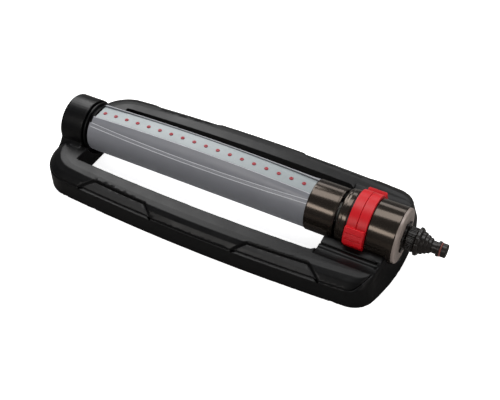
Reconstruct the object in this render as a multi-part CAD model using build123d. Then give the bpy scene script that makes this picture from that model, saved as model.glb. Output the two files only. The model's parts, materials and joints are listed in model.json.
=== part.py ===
from build123d import *
import math
import os

# Oscillating lawn sprinkler. +X runs along the spray tube towards the hose inlet, +Y to the
# rear, +Z up. The base stands on z = 0. Everything is laid out from the middle of the base
# and moved at the end, so that the origin lies under the middle of the whole object.

# ---- overall layout -------------------------------------------------------------------
AXIS_Z = 37.4            # height of the tube axis above the ground
RIM_Z = 20.5             # height of the rim where skirt and deck meet
DECK_Z = 30.0            # top of the deck
BASE_LEFT = -209.0       # rim at the pivot end, at the corners
BOW_LEFT = 1.2           # bow of the pivot end
BASE_RIGHT = 196.5       # rim at the hose end, at the corners
HALF_WIDTH = 89.2        # rim half width at the middle
RIM_SAG = 8.3            # how much the rim draws in, 200 mm from the middle
FLARE = 2.8              # skirt flare down to the ground
SKIRT_LEFT_TUCK = 5.5    # how far the pivot end tucks in at the ground
END_SLOPE = 12.2         # how far the hose end slopes out at the ground
END_BOW = 15.7           # bow of the hose end at the ground
CORNER_LEFT = 41.0
CORNER_RIGHT = 26.0
WALL = 2.6               # moulded wall of the base

# ---- opening and pockets --------------------------------------------------------------
OPEN_LEFT = -170.9
OPEN_RIGHT = 131.0
OPEN_HALF = 57.7
OPEN_SAG = 6.9
OPEN_CORNER = 9.0
POCKET_OUT = (49.1, 149.4)      # distance of the corners at the rim from the middle
POCKET_IN = (61.0, 134.3)       # distance of the inner corners from the middle
POCKET_HALF = 78.1
POCKET_SAG = 12.7
POCKET_DEPTH = 1.5
POCKET_CORNER = 3.5
RIB_T = 2.2
RIB_LIFT = 4.0
RIB_X = (-150.0, -97.7, -43.0, 0.0, 43.0, 97.7)

# ---- pivot tower ----------------------------------------------------------------------
TOWER_R = 31.2
TOWER_FACE = -179.4
TOWER_EDGE = 2.6
TOWER_WALL = 2.8
FLANK_OUT_RUN = 17.5     # how far the cove beside the tower reaches at the outer end
FLANK_IN_RUN = 8.5       # and where the deck is level
FLANK_CREST = 15.0       # distance of that place from the outer end
TROUGH_R = 32.4
BUSH_R = 12.0
BUSH_LEN = 20.0
BUSH_FLANGE_R = 15.0
BUSH_FLANGE_T = 1.2
BOSS_WALL = 3.2

# ---- cradle ---------------------------------------------------------------------------
SADDLE_GAP = 0.2
RECESS_GAP = 0.8
LEDGE_DROP = 1.4
LEDGE_W = 9.6
GROOVE_W = 1.9
GROOVE_DEPTH = 1.8
BEAD_W = 6.4
BEAD_UP = 1.3
COVE_W = 11.0

# ---- spray tube -----------------------------------------------------------------------
TUBE_LEFT = -172.9
TUBE_R = 27.35
TUBE_WALL = 2.2
TUBE_MID = -35.8         # x where the crown is highest
ARCH_HALF = 127.5        # from there to the first and the last nozzle
RIDGE_R = 31.9           # radius of the ridges at the middle
RIDGE_DROP = 3.2         # lower by this at the end nozzles
PANEL_H = 28.4           # height of the nozzle panel over the axis, at the middle
PANEL_DROP = 4.3
PANEL_HALF = 12.2
PANEL_T = 1.6
PANEL_GAP = 0.15
FLOOR_T = 1.4
JOINT_H = 16.5           # height of the shell joint over the axis, at the middle
JOINT_RISE = 2.4
BEAD_H = 3.0             # height of the joint bead
CROWN_LEFT = -170.8
NOZZLE_N = 18
NOZZLE_PITCH = 15.0
NOZZLE_R = 2.3
NOZZLE_UP = 0.9
NOZZLE_BORE = 0.55
NOZZLE_GAP = 0.2
STRIP_HALF = 9.0
STRIP_T = 1.8
STRIP_TAB = 1.6
CAP_FLANGE_R = 29.3
CAP_FLANGE_T = 2.4
CAP_GAP = 1.0
JOURNAL_R = 9.0
JOURNAL_WALL = 2.0
JOURNAL_LEN = 19.0
PLUG_LEN = 11.0
RUN_GAP = 0.08

# ---- collar and drive sleeve ----------------------------------------------------------
COLLAR_LEFT = 104.5
COLLAR_RIGHT = 138.0
COLLAR_R = 28.6
COLLAR_BEVEL = 0.9
COLLAR_LIP_R = 26.0
SLEEVE_R = 12.0
SLEEVE_WALL = 2.4
WEB_T = 3.0

# ---- motor ----------------------------------------------------------------------------
HEAD_LEFT = 140.5
HEAD_RIGHT = 151.0
HEAD_R = 30.7
TRACK_R = 29.4
TRACK_RIGHT = 174.8
HOUSING_WALL = 2.4
COVER_R = 30.9
COVER_RIGHT = 204.2
COVER_WALL = 2.2
SPIGOT_LEN = 7.0
PLATE_T = 4.0
PLATE_IN = 3.8
PLATE_R = 30.4
PLATE_EDGE = 3.0
JET_LEFT = 195.2
JET_T = 2.6
JET_R = 1.8
JET_SIDE = 4.6
JET_DOWN = 16.0
FLAP_T = 2.0
FLAP_GAP = 0.3
FLAP_PIVOT = 5.5
FLAP_R = 2.8
ROTOR_LEFT = 183.6
ROTOR_T = 8.0
ROTOR_R = 22.0
BLADE_N = 14
SHAFT_R = 1.5
GEARPLATE_LEFT = 176.4
GEARPLATE_T = 2.4
SCREW_X = (147.5, 187.6)
SCREW_R = 1.5
SCREW_HEAD_R = 2.9
SCREW_HEAD_T = 1.8
SCREW_LEN = 8.5
SCREW_BOSS_R = 3.6

# ---- gears ----------------------------------------------------------------------------
MODULE = 0.6
TEETH_SMALL = 12
TEETH_LARGE = 36
PRESSURE = 25.0
BACKLASH = 0.12
OUT_GEAR_X = (158.6, 162.6)
IN_GEAR_X = (167.6, 171.6)

# ---- limit rings ----------------------------------------------------------------------
LIMIT_LEFT = 153.0
LIMIT_W = 10.6
LIMIT_SPLIT = 0.3
LIMIT_R = 33.4
LIMIT_GAP = 0.2
EAR_R = 38.5
EAR_FROM = 60.0
EAR_TO = 90.0
EAR_LIFT = 0.4
EAR_EDGE = 1.6
GRIP_W = 1.4
GRIP_DEPTH = 0.8
SPACER_T = 1.6

# ---- inlet ----------------------------------------------------------------------------
STUB_R = 8.8
STUB_BORE = 6.0
STUB_FLANGE_R = 18.0
STUB_FLANGE_T = 2.2
STUB_LEN = 7.0
LOBE_N = 6
LOBE_R = 3.2
NUT_R = 13.3
NUT_LEN = 10.6
NUT_GAP = 0.3
NUT_GROOVE_N = 30
CLIP_R = 0.7
THREAD_R = 10.4
ADAPT_FLANGE_R = 15.5
ADAPT_FLANGE_T = 4.6
ADAPT_BORE = 4.2
CONE_R = (12.2, 10.4, 8.7)
CONE_L = (4.2, 3.8, 3.6)
LOCK_R = 6.6
LOCK_L = 5.6
STOP_R = 8.4
STOP_L = 3.0
ORING_R = 0.85
ORING_SEAT_R = 6.2
ORING_SEAT_L = 2.2
TIP_R = 7.5
TIP_L = 5.4
TIP_BEVEL = 0.8

# ---- derived --------------------------------------------------------------------------
NUT_LEFT = COVER_RIGHT + PLATE_T + STUB_FLANGE_T + NUT_GAP
NUT_RIGHT = NUT_LEFT + NUT_LEN
ADAPT_LEFT = NUT_RIGHT + 0.2
CONE_LEFT = ADAPT_LEFT + ADAPT_FLANGE_T
LOCK_LEFT = CONE_LEFT + sum(CONE_L)
STOP_LEFT = LOCK_LEFT + LOCK_L
SEAT_LEFT = STOP_LEFT + STOP_L
TIP_LEFT = SEAT_LEFT + ORING_SEAT_L
TIP_X = TIP_LEFT + TIP_L
SADDLE_R = COVER_R + SADDLE_GAP
RECESS_R = LIMIT_R + RECESS_GAP
LIMIT_RIGHT = LIMIT_LEFT + 2 * LIMIT_W + LIMIT_SPLIT
GEAR_A = MODULE * (TEETH_SMALL + TEETH_LARGE) / 2
SHIFT_X = -(BASE_LEFT - BOW_LEFT + TIP_X) / 2
BIG = 600.0


def half_at(mid, sag, x):
    """Half width of a bowed edge at x."""
    return mid - sag * (x / 200.0) ** 2


def bar(x0, x1, r_out, r_in=0.0, y=0.0, z=AXIS_Z):
    """Round bar or ring that lies along X."""
    place = Pos((x0 + x1) / 2, y, z) * Rot(0, 90, 0)
    body = place * Cylinder(r_out, x1 - x0)
    if r_in > 0:
        body -= place * Cylinder(r_in, x1 - x0 + 2)
    return body


def turned(profile):
    """Solid turned about the tube axis from (x, r) points."""
    face = make_face(Polyline(*[(x, 0, r) for x, r in profile], close=True))
    return Pos(0, 0, AXIS_Z) * revolve(face, Axis.X)


def slab(x0, x1, y0, y1, z0, z1):
    """Straight block between two corners."""
    centre = Pos((x0 + x1) / 2, (y0 + y1) / 2, (z0 + z1) / 2)
    return centre * Box(x1 - x0, y1 - y0, z1 - z0)


def outline(mid, sag, left, right, bow_left, bow_right, r_left, r_right):
    """Plan outline with bowed long sides, bowed ends and rounded corners."""
    wl = half_at(mid, sag, left)
    wr = half_at(mid, sag, right)
    front = ThreePointArc((left, -wl), (0, -mid), (right, -wr))
    end_r = ThreePointArc((right, -wr), (right + bow_right, 0), (right, wr))
    rear = ThreePointArc((right, wr), (0, mid), (left, wl))
    end_l = ThreePointArc((left, wl), (left - bow_left, 0), (left, -wl))
    face = make_face([front, end_r, rear, end_l])
    face = fillet(face.vertices().sort_by(Axis.X)[:2], r_left)
    return fillet(face.vertices().sort_by(Axis.X)[-2:], r_right)


def deck_solid(inset=0.0, drop=0.0):
    """Outer body of the base: flared skirt, sloped deck border and crowned deck.

    inset draws every outline in and drop lowers the deck, which gives the hollow inside.
    """
    rows = (
        (0.0, HALF_WIDTH + FLARE, RIM_SAG, BASE_LEFT + SKIRT_LEFT_TUCK,
         BASE_RIGHT + 1.0, 0.8, END_BOW, CORNER_LEFT - 5, CORNER_RIGHT),
        (RIM_Z, HALF_WIDTH, RIM_SAG, BASE_LEFT, BASE_RIGHT, BOW_LEFT, 4.5, CORNER_LEFT, CORNER_RIGHT),
        (RIM_Z + 5.7, HALF_WIDTH - 5.8, RIM_SAG + 2.2, BASE_LEFT + 5.0, BASE_RIGHT - 0.1,
         BOW_LEFT, 4.0, CORNER_LEFT - 3, CORNER_RIGHT - 4),
        (DECK_Z - 0.8, HALF_WIDTH - 11.1, RIM_SAG + 4.2, BASE_LEFT + 10.5, BASE_RIGHT - 0.4,
         BOW_LEFT, 3.6, CORNER_LEFT - 6, CORNER_RIGHT - 8),
        (DECK_Z, HALF_WIDTH - 18.0, RIM_SAG + 3.5, BASE_LEFT + 17.0, BASE_RIGHT - 1.0,
         BOW_LEFT, 3.2, CORNER_LEFT - 9, CORNER_RIGHT - 12),
    )
    faces = []
    for z, mid, sag, left, right, bow_l, bow_r, r_l, r_r in rows:
        r_l = max(r_l - inset, 1.0)
        r_r = max(r_r - inset, 1.0)
        shape = outline(mid - inset, sag, left + inset, right - inset, bow_l, bow_r, r_l, r_r)
        height = z - drop
        if z == 0.0 and inset > 0:
            height = -0.5
        faces.append(Pos(0, 0, height) * shape)
    body = loft(faces[0:2], ruled=True)
    for lower, upper in zip(faces[1:], faces[2:]):
        body += loft([lower, upper], ruled=True)
    return body


def opening_face(grow=0.0):
    """Plan of the opening in the middle of the base."""
    mid = OPEN_HALF + grow
    left = OPEN_LEFT - grow
    right = OPEN_RIGHT + grow
    wl = half_at(mid, OPEN_SAG, left)
    wr = half_at(mid, OPEN_SAG, right)
    front = ThreePointArc((left, -wl), (0, -mid), (right, -wr))
    rear = ThreePointArc((right, wr), (0, mid), (left, wl))
    face = make_face([front, Line((right, -wr), (right, wr)), rear, Line((left, wl), (left, -wl))])
    corners = face.vertices().sort_by(Axis.X)
    return fillet(corners[2:], OPEN_CORNER + grow)


def pocket_prism(side_x, side_y):
    """Upright prism over one of the four shallow pockets."""
    near_o, far_o = POCKET_OUT
    near_i, far_i = POCKET_IN
    y_ni = half_at(POCKET_HALF, POCKET_SAG, near_i)
    y_fi = half_at(POCKET_HALF, POCKET_SAG, far_i)
    y_no = half_at(HALF_WIDTH, RIM_SAG, near_o)
    y_fo = half_at(HALF_WIDTH, RIM_SAG, far_o)
    reach = HALF_WIDTH + FLARE + 8.0
    x_n = near_i + (near_o - near_i) * (reach - y_ni) / (y_no - y_ni)
    x_f = far_i + (far_o - far_i) * (reach - y_fi) / (y_fo - y_fi)
    mid_x = (near_i + far_i) / 2
    mid_y = half_at(POCKET_HALF, POCKET_SAG, mid_x)
    inner = ThreePointArc((near_i, y_ni), (mid_x, mid_y), (far_i, y_fi))
    rest = Polyline((far_i, y_fi), (x_f, reach), (x_n, reach), (near_i, y_ni))
    face = make_face([inner, rest])
    corners = [v for v in face.vertices() if v.Y < reach - 1.0]
    face = fillet(corners, POCKET_CORNER)
    prism = extrude(face, DECK_Z)
    if side_x < 0:
        prism = mirror(prism, Plane.YZ)
    if side_y < 0:
        prism = mirror(prism, Plane.XZ)
    return Pos(0, 0, RIM_Z - POCKET_DEPTH) * prism


def tower_solid():
    """Round housing of the left pivot with flanks that run out into the deck."""
    foot = RIM_Z - 0.3
    drum = bar(BASE_LEFT, TOWER_FACE, TOWER_R)
    drum = fillet(drum.edges().filter_by(GeomType.CIRCLE).sort_by(Axis.X)[0], TOWER_EDGE)
    outer = flank_face(BASE_LEFT + 0.6, FLANK_OUT_RUN, RIM_Z + 0.4)
    crest_x = BASE_LEFT + FLANK_CREST
    crest = flank_face(crest_x, FLANK_IN_RUN, DECK_Z - 0.1)
    flank = loft([outer, crest], ruled=True) + extrude(crest, TOWER_FACE - crest_x, dir=(1, 0, 0))
    return (drum + flank) & slab(-BIG, BIG, -BIG, BIG, foot, BIG)


def flank_face(x, run, land_z):
    """Section of both flanks at x: a cove from the drum out by run, down to land_z."""
    low = math.radians(8.0)
    y0 = TOWER_R * math.cos(low) - 0.2
    z0 = AXIS_Z - TOWER_R * math.sin(low)
    steps = 6
    side = []
    for i in range(steps + 1):
        t = i / steps
        side.append((y0 + run * t, land_z + (z0 - land_z) * (1 - t) ** 2.2))
    foot = RIM_Z - 0.3
    half = [(x, y, z) for y, z in side] + [(x, y0 + run, foot)]
    other = [(x, -y, z) for x, y, z in reversed(half)]
    return make_face(Polyline(*half, *other, close=True))


def cradle_cut():
    """Space above the ledge, groove and bead beside the motor."""
    half = math.sqrt(SADDLE_R ** 2 - (AXIS_Z - DECK_Z) ** 2)
    y1 = half + LEDGE_W
    y2 = y1 + GROOVE_W
    y3 = y2 + BEAD_W
    y4 = y3 + COVE_W
    z1 = DECK_Z - LEDGE_DROP
    low = z1 - GROOVE_DEPTH
    x0 = OPEN_RIGHT - 1.0
    edges = [Line((x0, -half + 6, DECK_Z), (x0, half - 6, DECK_Z))]
    for s in (-1, 1):
        edges.append(Polyline((x0, s * (half - 6), DECK_Z), (x0, s * half, DECK_Z),
                              (x0, s * y1, z1), (x0, s * (y1 + 0.3), low),
                              (x0, s * (y2 - 0.3), low), (x0, s * y2, z1)))
        edges.append(ThreePointArc((x0, s * y2, z1), (x0, s * (y2 + y3) / 2, z1 + BEAD_UP),
                                   (x0, s * y3, z1 - 0.2)))
        edges.append(ThreePointArc((x0, s * y3, z1 - 0.2), (x0, s * (y3 + 3.2), z1 - 0.3),
                                   (x0, s * y4, DECK_Z + 0.1)))
        edges.append(Line((x0, s * y4, DECK_Z + 0.1), (x0, s * y4, DECK_Z + 20)))
    edges.append(Line((x0, -y4, DECK_Z + 20), (x0, y4, DECK_Z + 20)))
    return extrude(make_face(edges), 100.0, dir=(1, 0, 0))


def base_shell():
    """One moulded ring: skirt, deck, pockets, pivot tower and motor cradle, hollow below."""
    outer = deck_solid()
    lowered = Pos(0, 0, -POCKET_DEPTH) * outer
    for sx in (-1, 1):
        for sy in (-1, 1):
            outer -= pocket_prism(sx, sy) - lowered
    outer -= cradle_cut()
    outer += tower_solid()

    hollow = deck_solid(WALL, WALL)
    rim_wall = extrude(opening_face(WALL), BIG, dir=(0, 0, 1))
    hollow -= Pos(0, 0, -5) * rim_wall
    shell_r = SADDLE_R + WALL
    hollow -= bar(OPEN_RIGHT - WALL, BASE_RIGHT + 30, shell_r)
    hollow -= bar(LIMIT_LEFT - 3.4, LIMIT_RIGHT + 3.4, RECESS_R + WALL)
    hollow -= bar(TOWER_FACE - WALL, OPEN_LEFT, TROUGH_R + WALL)
    hollow -= slab(OPEN_RIGHT - WALL, BASE_RIGHT + 30, -64, 64, DECK_Z - 7.6, 60)
    for x in RIB_X:
        hollow -= slab(x - RIB_T / 2, x + RIB_T / 2, -BIG, BIG, RIB_LIFT, 60)
    leg = TOWER_R - TOWER_WALL
    x_in = BASE_LEFT + TOWER_WALL
    tower_in = bar(x_in, TOWER_FACE - TOWER_WALL, leg)
    tower_in += slab(x_in, TOWER_FACE - TOWER_WALL, -leg, leg, RIM_Z, AXIS_Z)
    tower_in = tower_in & slab(-BIG, BIG, -BIG, BIG, RIM_Z, BIG)
    tower_in += slab(x_in + SKIRT_LEFT_TUCK, TOWER_FACE - TOWER_WALL, -leg, leg, -1, RIM_Z + 0.5)
    tower_in -= bar(BASE_LEFT, TOWER_FACE, BUSH_R + BOSS_WALL)
    hollow -= bar(BASE_LEFT, TOWER_FACE, BUSH_R + BOSS_WALL)
    body = outer - hollow - tower_in

    body -= Pos(0, 0, -5) * extrude(opening_face(), BIG, dir=(0, 0, 1))
    body -= bar(OPEN_RIGHT - 1, BASE_RIGHT + 30, SADDLE_R)
    body -= bar(LIMIT_LEFT - 0.8, LIMIT_RIGHT + 0.8, RECESS_R)
    body -= bar(TOWER_FACE, OPEN_LEFT + 1, TROUGH_R)
    body -= bar(TOWER_FACE - BUSH_LEN, TOWER_FACE, BUSH_R)
    for x in SCREW_X:
        body -= Pos(x, 0, 0) * Cylinder(SCREW_R + 0.2, 30)
        head_top = AXIS_Z - SADDLE_R - WALL + SCREW_HEAD_T - 0.6
        body -= Pos(x, 0, head_top / 2) * Cylinder(SCREW_HEAD_R + 0.2, head_top)
    return body


def bearing_bush():
    """Flanged bush in the tower that carries the journal of the tube."""
    bush = bar(TOWER_FACE - BUSH_LEN, TOWER_FACE, BUSH_R, JOURNAL_R + RUN_GAP)
    bush += bar(TOWER_FACE, TOWER_FACE + BUSH_FLANGE_T, BUSH_FLANGE_R, JOURNAL_R + RUN_GAP)
    return bush


def arch(mid, drop, x):
    """Height of an arched line over the axis at x."""
    return mid - drop * ((x - TUBE_MID) / ARCH_HALF) ** 2


def arched_band(top_mid, top_drop, low_mid, low_drop, x0, x1, half):
    """Plate between two arched surfaces, from x0 to x1 and half wide on each side."""
    xm = (x0 + x1) / 2
    upper = ThreePointArc((x0, 0, AXIS_Z + arch(top_mid, top_drop, x0)),
                          (xm, 0, AXIS_Z + arch(top_mid, top_drop, xm)),
                          (x1, 0, AXIS_Z + arch(top_mid, top_drop, x1)))
    lower = ThreePointArc((x1, 0, AXIS_Z + arch(low_mid, low_drop, x1)),
                          (xm, 0, AXIS_Z + arch(low_mid, low_drop, xm)),
                          (x0, 0, AXIS_Z + arch(low_mid, low_drop, x0)))
    face = make_face([upper, Line(upper @ 1, lower @ 0), lower, Line(lower @ 1, upper @ 0)])
    return extrude(face, half, dir=(0, 1, 0), both=True)


def joint_region(above):
    """Region above or below the joint of the two half shells; above is -1, 0 or 1."""
    if above > 0:
        return arched_band(80, 0.01, JOINT_H + BEAD_H / 2, -JOINT_RISE, CROWN_LEFT - 20,
                           COLLAR_LEFT + 30, 60)
    if above < 0:
        return arched_band(JOINT_H - BEAD_H / 2, -JOINT_RISE, -60, 0.01, CROWN_LEFT - 20,
                           COLLAR_LEFT + 30, 60)
    return arched_band(JOINT_H + BEAD_H / 2, -JOINT_RISE, JOINT_H - BEAD_H / 2, -JOINT_RISE,
                       CROWN_LEFT - 20, COLLAR_LEFT + 30, 60)


def tube_lower():
    """Straight lower half shell of the spray tube."""
    right = COLLAR_LEFT + 8
    return bar(TUBE_LEFT, right, TUBE_R, TUBE_R - TUBE_WALL) & joint_region(-1)


def shell_gasket():
    """Joint bead between lower shell and crown, one strip on each side."""
    right = COLLAR_LEFT + 8
    return bar(TUBE_LEFT, right, TUBE_R, TUBE_R - TUBE_WALL) & joint_region(0)


def crown_section(x, inset):
    """Cross section of the crown at x, as a face; inset gives the inner skin."""
    ridge_r = arch(RIDGE_R, RIDGE_DROP, x) - inset
    r = TUBE_R - inset
    half = PANEL_HALF - inset * 0.4
    ridge_z = math.sqrt(ridge_r ** 2 - half ** 2)
    foot_z = min(arch(JOINT_H - BEAD_H, -JOINT_RISE, x), r - 1)
    foot_y = math.sqrt(r ** 2 - foot_z ** 2)
    join_z = min(arch(JOINT_H + BEAD_H / 2, -JOINT_RISE, x), r - 0.5)
    join_y = math.sqrt(r ** 2 - join_z ** 2)
    mid_z = join_z + 0.52 * (ridge_z - join_z)
    mid_y = join_y + 0.52 * (half - join_y) + 0.9
    points = []
    side = [(foot_y, foot_z), (join_y, join_z), (mid_y, mid_z), (half, ridge_z)]
    for y, z in side:
        points.append((x, y, AXIS_Z + z))
    for y, z in reversed(side):
        points.append((x, -y, AXIS_Z + z))
    return make_face(Polyline(*points, close=True))


def crown_loft(inset, x0, x1):
    """Arched body of the crown between x0 and x1."""
    steps = 8
    spots = [x0 + (x1 - x0) * i / steps for i in range(steps + 1)]
    return loft([crown_section(x, inset) for x in spots], ruled=True)


def tube_crown():
    """Arched cover of the spray tube with a channel for the nozzle panel."""
    right = COLLAR_LEFT - 0.3
    low = PANEL_H - PANEL_T
    body = crown_loft(0.0, CROWN_LEFT, right) - crown_loft(TUBE_WALL, CROWN_LEFT - 5, right + 5)
    body -= arched_band(PANEL_H + 12, PANEL_DROP, low, PANEL_DROP, CROWN_LEFT - 5, right + 5,
                        PANEL_HALF - 0.9)
    floor = arched_band(low, PANEL_DROP, low - FLOOR_T, PANEL_DROP, CROWN_LEFT, right, PANEL_HALF + 3)
    body += floor & crown_loft(0.6, CROWN_LEFT, right)
    body = body & joint_region(1)
    for x, h in nozzle_spots():
        body -= Pos(x, 0, AXIS_Z + h) * Cylinder(NOZZLE_R + NOZZLE_GAP, 12)
    return body


def nozzle_spots():
    """Nozzle places along the tube: x and height of the panel there."""
    first = TUBE_MID - ARCH_HALF
    return [(first + i * NOZZLE_PITCH, arch(PANEL_H, PANEL_DROP, first + i * NOZZLE_PITCH))
            for i in range(NOZZLE_N)]


def nozzle_panel():
    """Panel in the channel of the crown, with a hole for each nozzle."""
    right = COLLAR_LEFT - 0.3
    body = arched_band(PANEL_H, PANEL_DROP, PANEL_H - PANEL_T, PANEL_DROP, CROWN_LEFT, right,
                       PANEL_HALF - 0.9 - PANEL_GAP)
    for x, h in nozzle_spots():
        body -= Pos(x, 0, AXIS_Z + h) * Cylinder(NOZZLE_R + NOZZLE_GAP, 8)
    return body


def nozzle_strip():
    """Soft strip under the panel with eighteen nozzles that stand through it."""
    right = COLLAR_LEFT - 0.3
    top = PANEL_H - PANEL_T - FLOOR_T
    body = arched_band(top, PANEL_DROP, top - STRIP_T, PANEL_DROP, CROWN_LEFT - STRIP_TAB,
                       right - 1.0, STRIP_HALF)
    for x, h in nozzle_spots():
        tall = FLOOR_T + PANEL_T + NOZZLE_UP + 0.6
        stud = Pos(x, 0, AXIS_Z + h + NOZZLE_UP - tall / 2) * Cylinder(NOZZLE_R, tall)
        tip = stud.faces().sort_by(Axis.Z)[-1].edges()
        body += chamfer(tip, 0.6)
    for x, h in nozzle_spots():
        body -= Pos(x, 0, AXIS_Z + h - 2) * Cylinder(NOZZLE_BORE, 14)
    return body


def end_cap():
    """Black cap on the pivot end: flange, plug, crown end piece and hollow journal."""
    flange_x = TOWER_FACE + BUSH_FLANGE_T + 0.3
    neck_x = flange_x + CAP_FLANGE_T
    plug_r = TUBE_R - TUBE_WALL - 0.05
    lid_x = CROWN_LEFT - 0.1
    strip_low = PANEL_H - PANEL_T - FLOOR_T - STRIP_T - 0.05
    cap = bar(flange_x, neck_x, CAP_FLANGE_R)
    cap = chamfer(cap.edges().filter_by(GeomType.CIRCLE), 0.5)
    tab_x = CROWN_LEFT - STRIP_TAB - 0.1
    notch = slab(tab_x, CROWN_LEFT + 20, -STRIP_HALF - 0.1, STRIP_HALF + 0.1,
                 AXIS_Z + arch(strip_low, PANEL_DROP, tab_x), AXIS_Z + 60)
    cap += bar(neck_x, lid_x, plug_r) - notch
    cap += (crown_loft(0.0, TUBE_LEFT + CAP_GAP, lid_x) & joint_region(1)) - notch
    plug = bar(neck_x + 1.5, TUBE_LEFT + PLUG_LEN, plug_r)
    flat = AXIS_Z + arch(strip_low, PANEL_DROP, CROWN_LEFT) - 0.6
    cap += plug - slab(neck_x, CROWN_LEFT + 40, -40, 40, flat, flat + 40)
    cap -= bar(neck_x + 1.5, TUBE_LEFT + PLUG_LEN + 1, plug_r - TUBE_WALL) - slab(
        neck_x, CROWN_LEFT + 40, -40, 40, flat - TUBE_WALL, flat + 40)
    cap += bar(flange_x - JOURNAL_LEN, flange_x + 1, JOURNAL_R)
    return cap - bar(flange_x - JOURNAL_LEN - 1, flange_x - 2, JOURNAL_R - JOURNAL_WALL)


def tube_collar():
    """Metal coloured collar that closes the hose end of the tube."""
    inner = TUBE_R + 0.05
    body = turned([(COLLAR_LEFT, inner), (COLLAR_LEFT, COLLAR_R - COLLAR_BEVEL),
                   (COLLAR_LEFT + COLLAR_BEVEL, COLLAR_R), (COLLAR_RIGHT - 1.4, COLLAR_R),
                   (COLLAR_RIGHT - 0.6, COLLAR_R - 0.4), (COLLAR_RIGHT, COLLAR_R - 1.4),
                   (COLLAR_RIGHT, COLLAR_LIP_R), (COLLAR_RIGHT - WEB_T, COLLAR_LIP_R),
                   (COLLAR_RIGHT - WEB_T, SLEEVE_R + 0.05), (COLLAR_RIGHT - 2 * WEB_T, SLEEVE_R + 0.05),
                   (COLLAR_RIGHT - 2 * WEB_T, COLLAR_LIP_R - 1), (COLLAR_LEFT + 8.2, COLLAR_LIP_R - 1),
                   (COLLAR_LEFT + 8.2, inner)])
    return body


def drive_sleeve():
    """Sleeve that carries the tube in the motor and takes the output gear."""
    left = COLLAR_RIGHT - 3 * WEB_T
    right = OUT_GEAR_X[0]
    body = bar(left, right, SLEEVE_R, SLEEVE_R - SLEEVE_WALL)
    body += bar(left, left + WEB_T, COLLAR_LIP_R - 1.2, SLEEVE_R - SLEEVE_WALL)
    end = bar(right - 2.5, right, SLEEVE_R, SHAFT_R + 1.5)
    for i in range(5):
        spot = math.radians(72 * i)
        end -= bar(right - 3, right + 1, 2.2, 0, 6.3 * math.cos(spot), AXIS_Z + 6.3 * math.sin(spot))
    return body + end


def gear_face(teeth, phase):
    """Involute gear profile in its own plane, with a tooth centred at phase degrees."""
    r_pitch = MODULE * teeth / 2
    r_base = r_pitch * math.cos(math.radians(PRESSURE))
    r_tip = r_pitch + 0.92 * MODULE
    r_root = r_pitch - 1.3 * MODULE
    inv_p = math.tan(math.radians(PRESSURE)) - math.radians(PRESSURE)
    half = (math.pi * MODULE / 2 - BACKLASH) / (2 * r_pitch)
    start = max(r_base, r_root + 0.05)
    flank = []
    for i in range(6):
        r = start + (r_tip - start) * i / 5
        a = math.acos(min(1.0, r_base / r))
        flank.append((r, half + inv_p - (math.tan(a) - a)))
    root_half = flank[0][1]
    points = []
    for k in range(teeth):
        c = math.radians(phase) + 2 * math.pi * k / teeth
        points.append((r_root, c - root_half))
        points += [(r, c - t) for r, t in flank]
        points += [(r, c + t) for r, t in reversed(flank)]
        points.append((r_root, c + root_half))
    return make_face(Polyline(*[(r * math.cos(t), r * math.sin(t)) for r, t in points], close=True))


def gear(x0, x1, teeth, phase, bore, z=AXIS_Z):
    """Spur gear that lies along X; its angles run from +Y towards +Z."""
    face = gear_face(teeth, phase)
    blank = extrude(face, x1 - x0)
    if bore > 0:
        blank -= Cylinder(bore, 4 * (x1 - x0))
    place = Plane(origin=(x0, 0, z), x_dir=(0, 1, 0), z_dir=(1, 0, 0))
    return place * blank


def output_gear():
    """Large gear at the end of the drive sleeve."""
    return gear(OUT_GEAR_X[0], OUT_GEAR_X[1], TEETH_LARGE, 0.0, SHAFT_R + RUN_GAP)


def compound_gear():
    """Idler: a large wheel driven by the turbine and a small one that drives the output."""
    z = AXIS_Z + GEAR_A
    half_tooth = 180.0 / TEETH_LARGE
    body = gear(IN_GEAR_X[0], IN_GEAR_X[1], TEETH_LARGE, half_tooth, SHAFT_R + RUN_GAP, z)
    small_phase = 180.0 / TEETH_SMALL
    body += gear(OUT_GEAR_X[0] + 0.3, IN_GEAR_X[0], TEETH_SMALL, small_phase, SHAFT_R + RUN_GAP, z)
    return body


def gear_pin():
    """Fixed pin of the idler between gear housing and gear plate."""
    return bar(HEAD_LEFT + 3.5, GEARPLATE_LEFT + GEARPLATE_T, SHAFT_R, 0, 0, AXIS_Z + GEAR_A)


def turbine_pinion():
    """Turbine shaft with its small gear."""
    shaft = bar(OUT_GEAR_X[0] - 1.0, JET_LEFT + JET_T, SHAFT_R)
    phase = 90.0
    pinion = gear(IN_GEAR_X[0] - 0.4, IN_GEAR_X[1] + 0.6, TEETH_SMALL, phase, 0.0)
    return shaft + pinion


def turbine_rotor():
    """Turbine wheel with straight blades, pressed on its shaft."""
    body = bar(ROTOR_LEFT, ROTOR_LEFT + ROTOR_T, 5.0)
    body += bar(ROTOR_LEFT, ROTOR_LEFT + 1.4, ROTOR_R - 2)
    mid = ROTOR_LEFT + ROTOR_T / 2
    for i in range(BLADE_N):
        blade = Box(ROTOR_T, 1.3, ROTOR_R - 4.5)
        blade = Pos(mid, 0, AXIS_Z) * Rot(360.0 * i / BLADE_N, 0, 0) * (
            Pos(0, 0, 4.5 + (ROTOR_R - 4.5) / 2) * blade)
        body += blade
    return body - bar(ROTOR_LEFT - 1, ROTOR_LEFT + ROTOR_T + 1, SHAFT_R)


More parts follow.
